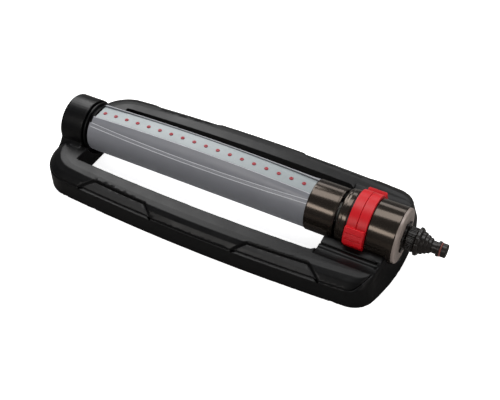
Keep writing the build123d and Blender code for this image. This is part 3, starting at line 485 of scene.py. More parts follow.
class Effects:
    """Shared node groups for grain, wear and dust."""

    _built: dict[str, bpy.types.NodeTree] = {}

    @classmethod
    def get(cls, name: str) -> bpy.types.NodeTree:
        """Gives an effect's node group and builds it the first time."""
        if name not in cls._built:
            cls._built[name] = getattr(cls, "_" + name)()
        return cls._built[name]

    @staticmethod
    def _start(name: str, inputs: Iterable[Socket], outputs: Iterable[Socket]) -> bpy.types.NodeTree:
        """Makes an empty group with its sockets."""
        tree = bpy.data.node_groups.new(name, "ShaderNodeTree")
        for side, sockets in (("INPUT", inputs), ("OUTPUT", outputs)):
            for label, kind in sockets:
                tree.interface.new_socket(label, in_out=side, socket_type=kind)
        tree.nodes.new("NodeGroupInput").name = "in"
        tree.nodes.new("NodeGroupOutput").name = "out"
        return tree

    @staticmethod
    def _noise(tree: bpy.types.NodeTree, scale: object, detail: float, roughness: float = 0.5) -> object:
        """Adds a noise on the group's own vector; scale is a socket or a number."""
        noise = tree.nodes.new("ShaderNodeTexNoise")
        noise.inputs["Detail"].default_value = detail
        noise.inputs["Roughness"].default_value = roughness
        tree.links.new(tree.nodes["in"].outputs["Vector"], noise.inputs["Vector"])
        if isinstance(scale, bpy.types.NodeSocket):
            tree.links.new(scale, noise.inputs["Scale"])
        else:
            noise.inputs["Scale"].default_value = scale
        return noise.outputs["Fac"]

    @staticmethod
    def _product(tree: bpy.types.NodeTree, a: object, b: object) -> bpy.types.Node:
        """Adds a math node that multiplies two sockets."""
        node = tree.nodes.new("ShaderNodeMath")
        node.operation = "MULTIPLY"
        tree.links.new(a, node.inputs[0])
        tree.links.new(b, node.inputs[1])
        return node

    @classmethod
    def _grain(cls) -> bpy.types.NodeTree:
        """Fine surface grain, and a slow blotch for colour and roughness."""
        tree = cls._start("moulded_grain",
                          [("Vector", VECTOR), ("Grain Scale", FLOAT), ("Blotch Scale", FLOAT)],
                          [("Height", FLOAT), ("Blotch", FLOAT)])
        given, out = tree.nodes["in"].outputs, tree.nodes["out"].inputs
        tree.links.new(cls._noise(tree, given["Grain Scale"], 3.0, 0.6), out["Height"])
        tree.links.new(cls._noise(tree, given["Blotch Scale"], 5.0, 0.55), out["Blotch"])
        return tree

    @classmethod
    def _wear(cls) -> bpy.types.NodeTree:
        """Masks of rubbed edges, broken up by noise, and of crevices."""
        tree = cls._start("edge_wear", [("Vector", VECTOR), ("Edge", FLOAT)],
                          [("Mask", FLOAT), ("Crevice", FLOAT)])
        given, out = tree.nodes["in"].outputs, tree.nodes["out"].inputs
        sharp = tree.nodes.new("ShaderNodeNewGeometry").outputs["Pointiness"]
        hollow = window(tree, sharp, From_Min=0.492, From_Max=0.44)
        tree.links.new(hollow, out["Crevice"])
        edge = window(tree, sharp, From_Max=0.62)
        tree.links.new(given["Edge"], edge.node.inputs["From Min"])
        tree.links.new(cls._product(tree, edge, cls._noise(tree, 260.0, 4.0)).outputs[0], out["Mask"])
        return tree

    @classmethod
    def _dust(cls) -> bpy.types.NodeTree:
        """Mask of a thin film of dust on surfaces that face up."""
        tree = cls._start("dust_film", [("Vector", VECTOR)], [("Mask", FLOAT)])
        parts = tree.nodes.new("ShaderNodeSeparateXYZ")
        tree.links.new(tree.nodes.new("ShaderNodeNewGeometry").outputs["Normal"], parts.inputs["Vector"])
        patches = window(tree, cls._noise(tree, 70.0, 8.0, 0.7), From_Min=0.45, From_Max=0.8)
        film = cls._product(tree, parts.outputs["Z"], patches)
        film.use_clamp = True
        tree.links.new(film.outputs[0], tree.nodes["out"].inputs["Mask"])
        return tree


class Sheen(Enum):
    """How the surface of a finish takes the light."""

    MOULDED = "moulded"
    SOFT = "soft"


@dataclass(frozen=True)
class Finish:
    """One procedural finish; colours are linear."""

    name: str
    colour: tuple[float, float, float]
    sheen: Sheen = Sheen.MOULDED
    roughness: float = 0.4
    metallic: float = 0.0
    specular: float = 0.5
    coat: float = 0.0
    grain_scale: float = 1600.0
    grain_depth: float = 0.02
    blotch: float = 0.12
    wear: float = 0.25
    dust: float = 0.05
    streak: bool = False
    made: dict = field(default_factory=dict, compare=False, repr=False)

    def material(self) -> bpy.types.Material:
        """Builds the material the first time it is asked for."""
        if "material" not in self.made:
            self.made["material"] = self._build()
        return self.made["material"]

    def _build(self) -> bpy.types.Material:
        """Builds the node tree of the finish."""
        material = bpy.data.materials.new(self.name)
        material.use_nodes = True
        tree = material.node_tree
        nodes, links = tree.nodes, tree.links
        shader = nodes["Principled BSDF"]
        where = nodes.new("ShaderNodeTexCoord").outputs["Object"]
        if self.streak:
            stretch = nodes.new("ShaderNodeMapping")
            stretch.inputs["Scale"].default_value = (0.06, 1.0, 1.0)
            links.new(where, stretch.inputs["Vector"])
            grain_place = stretch.outputs["Vector"]
        else:
            grain_place = where
        grain = self._effect(tree, "grain", grain_place)
        grain.inputs["Grain Scale"].default_value = self.grain_scale
        grain.inputs["Blotch Scale"].default_value = 38.0
        wear = self._effect(tree, "wear", where)
        wear.inputs["Edge"].default_value = 0.52
        dust = self._effect(tree, "dust", where)

        deep = tuple(c * (1 - self.blotch) for c in self.colour)
        light = tuple(min(1.0, c * (1 + self.blotch)) for c in self.colour)
        base = self._mix(tree, grain.outputs["Blotch"], 1.0, deep, light)
        rubbed = tuple(min(1.0, c * 1.7 + 0.02) for c in self.colour)
        worn = self._mix(tree, wear.outputs["Mask"], self.wear, base, rubbed)
        dusty = self._mix(tree, dust.outputs["Mask"], self.dust, worn, (0.42, 0.40, 0.37))
        links.new(dusty, shader.inputs["Base Color"])

        rough = window(tree, grain.outputs["Blotch"], From_Min=0.3, From_Max=0.7,
                       To_Min=max(0.03, self.roughness * 0.85), To_Max=min(1.0, self.roughness * 1.15))
        links.new(rough, shader.inputs["Roughness"])

        bump = nodes.new("ShaderNodeBump")
        bump.inputs["Strength"].default_value = 0.6
        bump.inputs["Distance"].default_value = self.grain_depth * MM
        links.new(grain.outputs["Height"], bump.inputs["Height"])
        links.new(bump.outputs["Normal"], shader.inputs["Normal"])

        shader.inputs["Metallic"].default_value = self.metallic
        shine = window(tree, wear.outputs["Crevice"], To_Min=self.specular, To_Max=0.0)
        links.new(shine, shader.inputs["Specular IOR Level"])
        shader.inputs["Coat Weight"].default_value = self.coat
        shader.inputs["Coat Roughness"].default_value = 0.12
        if self.sheen is Sheen.SOFT:
            shader.inputs["Sheen Weight"].default_value = 0.15
            shader.inputs["Sheen Roughness"].default_value = 0.5
        material.diffuse_color = (*self.colour, 1.0)
        return material

    @staticmethod
    def _effect(tree: bpy.types.NodeTree, name: str, where: object) -> bpy.types.Node:
        """Places a shared effect in the material."""
        node = tree.nodes.new("ShaderNodeGroup")
        node.node_tree = Effects.get(name)
        tree.links.new(where, node.inputs["Vector"])
        return node

    @staticmethod
    def _mix(tree: bpy.types.NodeTree, mask: object, amount: float, a: object, b: object) -> object:
        """Mixes two colours by a mask times an amount; a and b are sockets or colours."""
        nodes, links = tree.nodes, tree.links
        scale = nodes.new("ShaderNodeMath")
        scale.operation = "MULTIPLY"
        scale.use_clamp = True
        scale.inputs[1].default_value = amount
        links.new(mask, scale.inputs[0])
        mix = nodes.new("ShaderNodeMix")
        mix.data_type = "RGBA"
        links.new(scale.outputs[0], mix.inputs[0])
        for slot, value in ((mix.inputs[6], a), (mix.inputs[7], b)):
            if isinstance(value, bpy.types.NodeSocket):
                links.new(value, slot)
            else:
                slot.default_value = (*value, 1.0)
        return mix.outputs[2]


BLACK = Finish("black_moulding", (0.0030, 0.0030, 0.0033), roughness=0.34, specular=0.2, grain_scale=1500.0,
               grain_depth=0.02, blotch=0.15, wear=0.2, dust=0.004)
SATIN_BLACK = Finish("satin_black_inlay", (0.018, 0.018, 0.0185), roughness=0.5, specular=0.3,
                     grain_scale=1100.0, grain_depth=0.03, blotch=0.1, wear=0.2, dust=0.01)
GREY_TUBE = Finish("grey_tube_shell", (0.195, 0.20, 0.222), roughness=0.38, grain_scale=2200.0,
                   grain_depth=0.012, blotch=0.05, wear=0.5, dust=0.03)
PANEL_GREY = Finish("grey_nozzle_panel", (0.255, 0.285, 0.295), roughness=0.38, grain_scale=2200.0,
                    grain_depth=0.012, blotch=0.05, wear=0.4, dust=0.03)
# Light grey of the thin wires that paint highlights along the tube's bead edges and ridge crests.
PAINTED_HIGHLIGHT_GREY = Finish("light_joint_bead", (0.52, 0.53, 0.56), roughness=0.35, grain_scale=2200.0,
                   grain_depth=0.012, blotch=0.06, wear=0.3, dust=0.03)
RED_SOFT = Finish("red_nozzle_rubber", (0.32, 0.008, 0.020), sheen=Sheen.SOFT, roughness=0.5,
                  grain_scale=2600.0, grain_depth=0.01, blotch=0.12, wear=0.15, dust=0.03)
RED_GLOSS = Finish("red_limit_plastic", (0.56, 0.006, 0.012), roughness=0.38, specular=0.3,
                   grain_scale=1800.0, grain_depth=0.012, blotch=0.08, wear=0.15, dust=0.01)
BRONZE = Finish("dark_bronze_shell", (0.068, 0.055, 0.045), roughness=0.17,
                metallic=0.85, specular=0.3, grain_scale=900.0, grain_depth=0.004, blotch=0.10, wear=0.35,
                dust=0.012, coat=0.12)
PALE_DISC = Finish("pale_end_disc", (0.270, 0.222, 0.198), roughness=0.36, grain_scale=1500.0,
                   grain_depth=0.012, blotch=0.08, wear=0.3, dust=0.02, metallic=0.25)
HOSE_BLACK = Finish("hose_fitting_plastic", (0.010, 0.008, 0.007), roughness=0.27, specular=0.35,
                    grain_scale=1500.0, grain_depth=0.012, blotch=0.15, wear=0.5, dust=0.012, coat=0.1)
SEAL_BLACK = Finish("black_seal_rubber", (0.014, 0.014, 0.014), sheen=Sheen.SOFT, roughness=0.6,
                    grain_scale=2400.0, grain_depth=0.012, blotch=0.15, wear=0.1, dust=0.04)
SEAL_RED = Finish("red_brown_seal", (0.16, 0.03, 0.022), sheen=Sheen.SOFT, roughness=0.45,
                  grain_scale=2400.0, grain_depth=0.01, blotch=0.15, wear=0.1, dust=0.03)
WHITE_GEAR = Finish("white_gear_plastic", (0.72, 0.71, 0.66), roughness=0.36, grain_scale=1800.0,
                    grain_depth=0.008, blotch=0.05, wear=0.1, dust=0.03)
STEEL = Finish("plain_steel", (0.52, 0.51, 0.49), roughness=0.28, metallic=1.0,
               grain_scale=1400.0, grain_depth=0.006, blotch=0.08, wear=0.2, dust=0.02, streak=True)


def dress(piece: bpy.types.Object, finish: Finish, body: str,
          stands_for: Sequence[str] = ()) -> bpy.types.Object:
    """Gives a piece its finish and tells the frame where it belongs.

    Args:
        piece: The finished mesh object.
        finish: Finish of the whole piece.
        body: CAD body that it moves with.
        stands_for: CAD nodes that it replaces.

    Returns:
        The same piece.
    """
    piece.data.materials.clear()
    piece.data.materials.append(finish.material())
    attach(piece, body)
    if stands_for:
        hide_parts(*stands_for)
    LOG.info("%s: %d faces", piece.name, len(piece.data.polygons))
    return piece


def refinish(node: str, finish: Finish) -> None:
    """Gives a CAD node that stays visible a better material."""
    data = bpy.data.objects[node].data
    data.materials.clear()
    data.materials.append(finish.material())
    LOG.info("%s: kept from the frame", node)


# ---------------------------------------------------------------- base

@dataclass
class GroundBase:
    """The moulded ring that stands on the ground, with its pivot tower and motor cradle."""

    axis: Line
    middle_x: float
    rim_z: float = 20.5
    seam_width: float = 1.1
    seam_depth: float = 1.3
    seam_top_z: float = 29.5
    seam_climb: tuple[float, float] = (181.0, 199.0)
    half_length: float = 205.0
    half_width: float = 92.0
    pocket_out: tuple[float, float] = (49.1, 149.4)
    pocket_in: tuple[float, float] = (61.0, 134.3)
    pocket_rim_half: float = 89.2
    pocket_half: float = 78.1
    pocket_sag: float = 12.7
    groove_width: float = 1.45
    groove_depth: float = 1.7
    mould: Mould = Mould(voxel=0.6, passes=6, budget=190000)

    def build(self) -> None:
        """Builds and dresses the base and the parts fixed to it."""
        moulding = self.mould.remould("base_shell", "base_moulding", self.carve)
        dress(moulding, BLACK, "base", ["base_shell"])
        self.inlay(moulding)
        refinish("bearing_bush", WHITE_GEAR)
        refinish("cradle_screws", STEEL)

    def inlay(self, piece: bpy.types.Object) -> None:
        """Gives the floors of the pockets their satin finish."""
        mesh = piece.data
        mesh.materials.append(SATIN_BLACK.material())
        count = len(mesh.polygons)
        centre = np.empty(count * 3)
        normal = np.empty(count * 3)
        mesh.polygons.foreach_get("center", centre)
        mesh.polygons.foreach_get("normal", normal)
        centre = centre.reshape(-1, 3) / MM
        px = np.abs(centre[:, 0] - self.middle_x)
        py = np.abs(centre[:, 1])
        line = self.pocket_line()
        inside = np.zeros(count, bool)
        for (ax, ay), (bx, by) in zip(line, line[1:] + line[:1]):
            if ay == by:
                continue
            crosses = (py > ay) != (py > by)
            inside ^= crosses & (px < ax + (py - ay) / (by - ay) * (bx - ax))
        upper = (normal.reshape(-1, 3)[:, 2] > 0.5) & (centre[:, 2] > self.rim_z - 2.0)
        mesh.polygons.foreach_set("material_index", (inside & upper).astype(np.int32))
        mesh.update()

    def carve(self, piece: bpy.types.Object) -> None:
        """Presses the rim seam and the grooves round the pockets into the fine skin."""
        mesh = piece.data
        count = len(mesh.vertices)
        place = np.empty(count * 3)
        normal = np.empty(count * 3)
        mesh.vertices.foreach_get("co", place)
        mesh.vertex_normals.foreach_get("vector", normal)
        place = place.reshape(-1, 3) / MM
        normal = normal.reshape(-1, 3)
        x = place[:, 0] - self.middle_x
        y = place[:, 1]
        z = place[:, 2]
        self.press_seam(place, normal, x, y, z)
        self.press_pockets(place, normal, x, y, z)
        mesh.vertices.foreach_set("co", (place * MM).ravel())
        mesh.update()

    def press_seam(self, place: np.ndarray, normal: np.ndarray, x: np.ndarray, y: np.ndarray,
                   z: np.ndarray) -> None:
        """Presses the seam between skirt and deck, which climbs at the hose end."""
        low, high = self.seam_climb
        climb = np.clip((x - low) / (high - low), 0, 1)
        seam_z = self.rim_z + (self.seam_top_z - self.rim_z) * climb ** 2 * (3 - 2 * climb)
        out_x = x / self.half_length ** 2
        out_y = y / self.half_width ** 2
        size = np.hypot(out_x, out_y) + 1e-9
        facing = (normal[:, 0] * out_x + normal[:, 1] * out_y) / size
        rim = (x / (self.half_length + 4)) ** 8 + (y / self.half_width) ** 8 > 0.35
        gap = np.abs(z - seam_z) / self.seam_width
        outward = np.clip((facing - 0.1) / 0.5, 0, 1)
        push = self.seam_depth * np.clip(1 - gap ** 2, 0, 1) * outward * rim
        place -= normal * push[:, None]

    def pocket_line(self) -> list[Point]:
        """Outline of the pocket on the +X +Y side, open at the rim."""
        def inner(px: float) -> Point:
            """Point of the curved inner side at px."""
            return px, self.pocket_half - self.pocket_sag * (px / 200.0) ** 2

        near_i, far_i = self.pocket_in
        steps = 24
        side = [inner(near_i + (far_i - near_i) * i / steps) for i in range(steps + 1)]
        near = (self.pocket_out[0], self.pocket_rim_half)
        far = (self.pocket_out[1], self.pocket_rim_half - 4.6)
        return [near] + side[1:-1] + [far]

    def press_pockets(self, place: np.ndarray, normal: np.ndarray, x: np.ndarray, y: np.ndarray,
                      z: np.ndarray) -> None:
        """Presses a groove along the outline of each pocket."""
        line = self.pocket_line()
        px = np.abs(x)
        py = np.abs(y)
        gap = np.full(len(px), 1e3)
        for (ax, ay), (bx, by) in zip(line, line[1:]):
            run = np.array((bx - ax, by - ay))
            t = np.clip(((px - ax) * run[0] + (py - ay) * run[1]) / (run @ run), 0, 1)
            gap = np.minimum(gap, np.hypot(px - ax - t * run[0], py - ay - t * run[1]))
        upper = (normal[:, 2] > 0.3) & (z > self.rim_z - 2.0)
        depth = self.groove_depth * np.clip(1 - (gap / self.groove_width) ** 2, 0, 1) * upper
        place[:, 2] -= depth


# ---------------------------------------------------------------- spray tube

@dataclass
class SprayTube:
    """The swinging tube: lower shell, arched crown, panel, nozzles and end cap."""

    axis: Line
    repeat: Repeater
    middle_x: float
    radius: float = 27.35
    wall: float = 2.0
    arch_half: float = 127.5
    ridge_r: float = 31.9
    ridge_drop: float = 3.2
    ridge_half: float = 12.2
    ridge_lip: float = 1.0
    bend_share: float = 0.52
    bend_out: float = 0.9
    strip_half: float = 9.0
    panel_h: float = 28.4
    panel_drop: float = 4.3
    panel_t: float = 1.6
    joint_h: float = 16.5
    joint_rise: float = 2.4
    bead_h: float = 3.0
    # Radius of the wires that paint highlights.
    highlight_wire_r: float = 0.38
    nozzle_r: float = 2.3
    nozzle_up: float = 0.9
    nozzle_bore: float = 0.6
    nozzle_pitch: float = 15.0
    nozzle_count: int = 18
    stations: int = 96

    def build(self) -> None:
        """Builds and dresses every piece of the tube."""
        body = "spray_tube"
        dress(self.lower_shell(), GREY_TUBE, body, ["tube_lower"])
        dress(self.beads(), GREY_TUBE, body, ["shell_gasket"])
        # Painted highlights: thin light grey wires along the bead edges and ridge crests.
        dress(self.painted_highlight_lines(), PAINTED_HIGHLIGHT_GREY, body, ["shell_gasket"])
        dress(self.crown(), GREY_TUBE, body, ["tube_crown"])
        dress(self.panel(), PANEL_GREY, body, ["nozzle_panel"])
        dress(self.backing(), RED_SOFT, body, ["nozzle_strip"])
        dress(self.nozzles(), RED_SOFT, body, ["nozzle_strip"])
        cap = Mould(voxel=0.4, passes=3, budget=60000).remould("end_cap", "pivot_end_cap")
        dress(cap, BLACK, body, ["end_cap"])
        for node in ("drive_sleeve", "output_gear"):
            refinish(node, WHITE_GEAR)

    def share(self, x: float) -> float:
        """Square of the distance from the tube's middle, 1 at the first and last nozzle."""
        return ((x - self.middle_x) / self.arch_half) ** 2

    def xs(self, node: str) -> list[float]:
        """Even stations over the length of a node."""
        low, high = box_mm(node)
        return [low.x + (high.x - low.x) * i / self.stations for i in range(self.stations + 1)]

    def section(self, x: float, outline: Sequence[Point]) -> list[Vector]:
        """Places an outline of (y, height) from the axis at x."""
        return [Vector((x, self.axis.y + y, self.axis.z + h)) * MM for y, h in outline]

    def joint(self, x: float) -> float:
        """Height of the joint of the shells over the axis."""
        return self.joint_h + self.joint_rise * self.share(x)

    def lower_shell(self) -> bpy.types.Object:
        """Straight shell below the joint."""
        rings = []
        steps = 90
        for x in self.xs("tube_lower"):
            top = math.acos((self.joint(x) - self.bead_h / 2) / self.radius)
            ring = []
            for r in (self.radius, self.radius - self.wall):
                arc = [self.axis.at(x, r, top + (FULL_TURN - 2 * top) * k / steps) for k in range(steps + 1)]
                ring += arc if r == self.radius else arc[::-1]
            rings.append(ring)
        return loft("tube_lower_shell", rings)

    def beads(self) -> bpy.types.Object:
        """Joint bead on each side of the tube."""
        pieces = []
        steps = 12
        for side in (-1, 1):
            rings = []
            for x in self.xs("shell_gasket"):
                high = math.acos((self.joint(x) + self.bead_h / 2) / self.radius)
                low = math.acos((self.joint(x) - self.bead_h / 2) / self.radius)
                outer = []
                inner = []
                for k in range(steps + 1):
                    angle = high + (low - high) * k / steps
                    outer.append(self.axis.at(x, self.radius, side * angle))
                    inner.append(self.axis.at(x, self.radius - self.wall, side * angle))
                rings.append(outer + inner[::-1])
            pieces.append(loft("bead", rings, 60.0))
        return join("joint_beads", pieces)

    def wire(self, spot: Callable[[float], Vector], size: float) -> bpy.types.Object:
        """Fine round line along the tube, which paints a highlight.

        Args:
            spot: Gives its centre at x, in metres.
            size: Its radius in millimetres.

        Returns:
            The line as a closed mesh.
        """
        around = 10
        rings = []
        for x in self.xs("tube_crown"):
            centre = spot(x)
            rings.append([centre + Vector((0, math.cos(FULL_TURN * k / around),
                                           math.sin(FULL_TURN * k / around))) * size * MM
                          for k in range(around)])
        return loft("line", rings, 60.0)

    def painted_highlight_lines(self) -> bpy.types.Object:
        """Painted highlights: fine light grey lines on both edges of each bead and along each ridge of the
        crown.
        """
        pieces = []
        for side in (-1, 1):
            for edge in (-1, 1):
                def on_bead(x: float, side: int = side, edge: int = edge) -> Vector:
                    """Point on an edge of the bead."""
                    angle = math.acos((self.joint(x) + edge * self.bead_h / 2) / self.radius)
                    return self.axis.at(x, self.radius - 0.1, side * angle)

                pieces.append(self.wire(on_bead, self.highlight_wire_r))

            def on_ridge(x: float, side: int = side) -> Vector:
                """Point on the crest of a ridge."""
                y = self.axis.y + side * (self.ridge_half - 0.1)
                return Vector((x, y, self.axis.z + self.ridge_top(x) - 0.25)) * MM

            pieces.append(self.wire(on_ridge, self.highlight_wire_r * 0.85))
        return join("tube_light_lines", pieces)

    def ridge_top(self, x: float) -> float:
        """Height of the ridges beside the panel over the axis."""
        r = self.ridge_r - self.ridge_drop * self.share(x)
        return math.sqrt(r ** 2 - self.ridge_half ** 2)

    def panel_top(self, x: float) -> float:
        """Height of the panel over the axis."""
        return self.panel_h - self.panel_drop * self.share(x)

    def crown_side(self, x: float) -> list[tuple[float, float, float]]:
        """Corners of one side of the crown's section as (y, height, rounding)."""
        joint_top = self.joint(x) + self.bead_h / 2
        foot_y = math.sqrt(self.radius ** 2 - joint_top ** 2)
        ridge_z = self.ridge_top(x)
        mid_y = foot_y + self.bend_share * (self.ridge_half - foot_y) + self.bend_out
        mid_z = joint_top + self.bend_share * (ridge_z - joint_top)
        floor = self.panel_top(x) - self.panel_t - 0.02
        lip = self.ridge_half - self.ridge_lip
        return [(foot_y, joint_top, 0.3), (mid_y, mid_z, 4.0), (self.ridge_half + 0.25, ridge_z - 0.3, 0.5),
                (self.ridge_half - 0.25, ridge_z, 0.35), (lip, ridge_z - 0.25, 0.3), (lip, floor, 0.0)]

    def crown(self) -> bpy.types.Object:
        """Arched crown with a ridge on both sides of the channel for the panel."""
        rings = []
        for x in self.xs("tube_crown"):
            side = self.crown_side(x)
            outer = side + [(-y, h, f) for y, h, f in reversed(side)]
            inset = self.wall
            floor = side[-1][1] - inset
            mid = side[1]
            inner = [(-side[0][0] + inset, side[0][1], 0.0), (-mid[0] + inset, mid[1] - 0.8, 1.5),
                     (-self.ridge_half + 1.5, floor, 0.5), (self.ridge_half - 1.5, floor, 0.5),
                     (mid[0] - inset, mid[1] - 0.8, 1.5), (side[0][0] - inset, side[0][1], 0.0)]
            rings.append(self.section(x, rounded(outer + inner, 5)))
        return loft("tube_crown_shell", rings, 42.0)

    def flat_strip(self, name: str, node: str, half: float, top: float, thick: float,
                   soft: float) -> bpy.types.Object:
        """Builds a flat strip that follows the arch.

        Args:
            name: Name of the piece.
            node: CAD node that gives its length.
            half: Half of its width.
            top: Distance of its top below the panel's top.
            thick: Its thickness.
            soft: Rounding of its edges.

        Returns:
            The new piece.
        """
        rings = []
        for x in self.xs(node):
            z = self.panel_top(x) - top
            corners = [(-half, z, soft), (half, z, soft), (half, z - thick, soft), (-half, z - thick, soft)]
            rings.append(self.section(x, rounded(corners, 3)))
        return loft(name, rings)

    def panel(self) -> bpy.types.Object:
        """Panel that lies in the channel of the crown."""
        half = self.ridge_half - self.ridge_lip - 0.15
        return self.flat_strip("nozzle_panel_plate", "nozzle_panel", half, 0.0, self.panel_t, 0.35)

    def backing(self) -> bpy.types.Object:
        """Soft strip behind the panel, whose tab shows at the pivot end."""
        top = self.panel_t + 1.45
        return self.flat_strip("nozzle_backing", "nozzle_strip", self.strip_half, top, 1.75, 0.5)

    def nozzles(self) -> bpy.types.Object:
        """Row of soft nozzles along the panel."""
        r, up, bore = self.nozzle_r, self.nozzle_up, self.nozzle_bore
        profile = rounded([(-1.5, r, 0.0), (0.15, r, 0.12), (up * 0.75, r * 0.97, 0.25), (up, r * 0.7, 0.25),
                           (up, bore, 0.12), (up - 0.9, bore * 0.75, 0.0), (up - 0.9, 0.05, 0.0),
                           (-1.5, 0.05, 0.0)], 3)
        stud = revolve("stud", profile, upright, 24)
        first = self.middle_x - self.arch_half
        return self.repeat.lay("nozzle_row", Repeat.ROW, stud, RED_SOFT.material(), self.nozzle_count,
                               Pitch=self.nozzle_pitch * MM, First_X=first * MM, Middle_X=self.middle_x * MM,
                               Middle_Z=(self.axis.z + self.panel_h) * MM, Drop=self.panel_drop * MM,
                               Half_Length=self.arch_half * MM)


def upright(along: float, r: float, angle: float) -> Vector:
    """Place for a small part turned about Z."""
    return Vector((r * math.cos(angle), r * math.sin(angle), along)) * MM


def join(name: str, pieces: Sequence[bpy.types.Object]) -> bpy.types.Object:
    """Joins meshes into one piece."""
    work = bmesh.new()
    for piece in pieces:
        work.from_mesh(piece.data)
        bpy.data.objects.remove(piece)
    mesh = bpy.data.meshes.new(name)
    work.to_mesh(mesh)
    work.free()
    return shaded(bpy.data.objects.new(name, mesh), 42.0)


# ---------------------------------------------------------------- motor

@dataclass
class MotorHead:
    """Bronze coloured collar and housing with the pale end disc."""

    axis: Line
    head_r: float = 30.7
    collar_r: float = 28.6
    cover_r: float = 30.9
    track_r: float = 29.4
    disc_r: float = 30.4
    wall: float = 2.3
    bore_r: float = 12.4

    def build(self) -> None:
        """Builds and dresses the turned shells and the parts inside."""
        dress(self.collar(), BRONZE, "spray_tube", ["tube_collar"])
        dress(self.housing(), BRONZE, "base", ["gear_housing"])
        dress(self.cover(), BRONZE, "base", ["motor_cover"])
        dress(self.end_disc(), PALE_DISC, "base", ["end_plate"])
        refinish("spacer_ring", BLACK)
        refinish("sleeve_seal", SEAL_BLACK)
        for node in ("gear_plate", "jet_plate", "compound_gear", "turbine_pinion", "turbine_rotor",
                     "reversing_flap"):
            refinish(node, WHITE_GEAR)
        refinish("gear_pin", STEEL)

    def turned(self, name: str, profile: Profile) -> bpy.types.Object:
        """Turns a profile of (x, radius, rounding) about the common axis."""
        return revolve(name, rounded(profile, 5), self.axis.at, 200)

    def collar(self) -> bpy.types.Object:
        """Collar at the hose end of the tube, with a fine step at both rims."""
        low, high = box_mm("tube_collar")
        a, b, r = low.x, high.x, self.collar_r
        return self.turned("tube_end_collar", [
            (a, r - 1.25, 0.1), (a, r - 0.55, 0.3), (a + 0.9, r, 0.5), (b - 2.6, r, 0.3),
            (b - 2.3, r - 0.35, 0.1), (b - 1.9, r - 0.35, 0.1), (b - 1.6, r, 0.2), (b - 0.6, r - 0.2, 0.4),
            (b, r - 1.4, 0.4),
            (b, r - 2.6, 0.3), (b - 2.6, r - 2.8, 0.3), (b - 3.0, self.bore_r, 0.0),
            (b - 6.0, self.bore_r, 0.0), (b - 6.2, r - 3.4, 0.3), (a + 8.2, r - 3.4, 0.2),
            (a + 8.2, r - 1.25, 0.0)])

    def housing(self) -> bpy.types.Object:
        """Head ring beside the collar and the track under the limit rings."""
        low, high = box_mm("gear_housing")
        a, b = low.x, high.x
        r, track = self.head_r, self.track_r
        head = a + 10.5
        seam = b - 7.0
        return self.turned("motor_head_shell", [
            (a, self.bore_r + 3.1, 0.0), (a, r - 2.4, 0.8), (a + 0.8, r - 1.0, 0.6),
            (a + 2.4, r - 0.25, 1.0),
            (a + 4.2, r - 0.55, 0.7), (a + 5.4, r, 0.7), (head - 0.6, r, 0.5), (head, r - 0.6, 0.3),
            (head, track, 0.2), (seam, track, 0.1), (seam, self.cover_r - self.wall, 0.0),
            (b, self.cover_r - self.wall, 0.1), (b, track - self.wall, 0.1),
            (a + 5.5, track - self.wall, 1.0),
            (a + 5.5, self.bore_r, 0.2), (a + 2.4, self.bore_r, 0.0), (a + 2.4, self.bore_r + 3.1, 0.0)])

    def cover(self) -> bpy.types.Object:
        """Cover over the turbine."""
        low, high = box_mm("motor_cover")
        a, b, r = low.x, high.x, self.cover_r
        return self.turned("turbine_cover", [
            (a, r - self.wall, 0.1), (a, r - 0.5, 0.3), (a + 0.7, r, 0.5), (b - 0.6, r, 0.4),
            (b, r - 0.5, 0.2), (b, r - self.wall, 0.1)])

    def end_disc(self) -> bpy.types.Object:
        """Pale disc with a rounded edge and a shallow ring near the stub."""
        low, high = box_mm("end_plate")
        a, b, r = low.x, high.x, self.disc_r
        face = b - 4.0
        hole = 8.85
        return self.turned("pale_end_disc", [
            (face, r, 0.2), (b, r, 3.2), (b, 22.4, 0.4), (b - 0.35, 22.0, 0.2), (b - 0.35, 20.6, 0.2),
            (b, 20.2, 0.4), (b, hole, 0.3), (a + 1.0, hole, 0.2), (face - 0.2, hole + 2.0, 0.2),
            (face - 0.2, r - 4.9, 0.1), (a, r - 4.4, 0.1), (a, r - 2.0, 0.1), (face, r - 1.9, 0.0)])


@dataclass
class LimitRings:
    """Two red rings with grip ears that set the ends of the swing."""

    mould: Mould = Mould(voxel=0.32, passes=3, budget=60000)

    def build(self) -> None:
        """Builds and dresses both rings."""
        for name in ("front", "rear"):
            node = f"limit_ring_{name}"
            ring = self.mould.remould(node, f"limit_ring_{name}_moulding")
            dress(ring, RED_GLOSS, f"limit_{name}", [node])


# ---------------------------------------------------------------- hose inlet

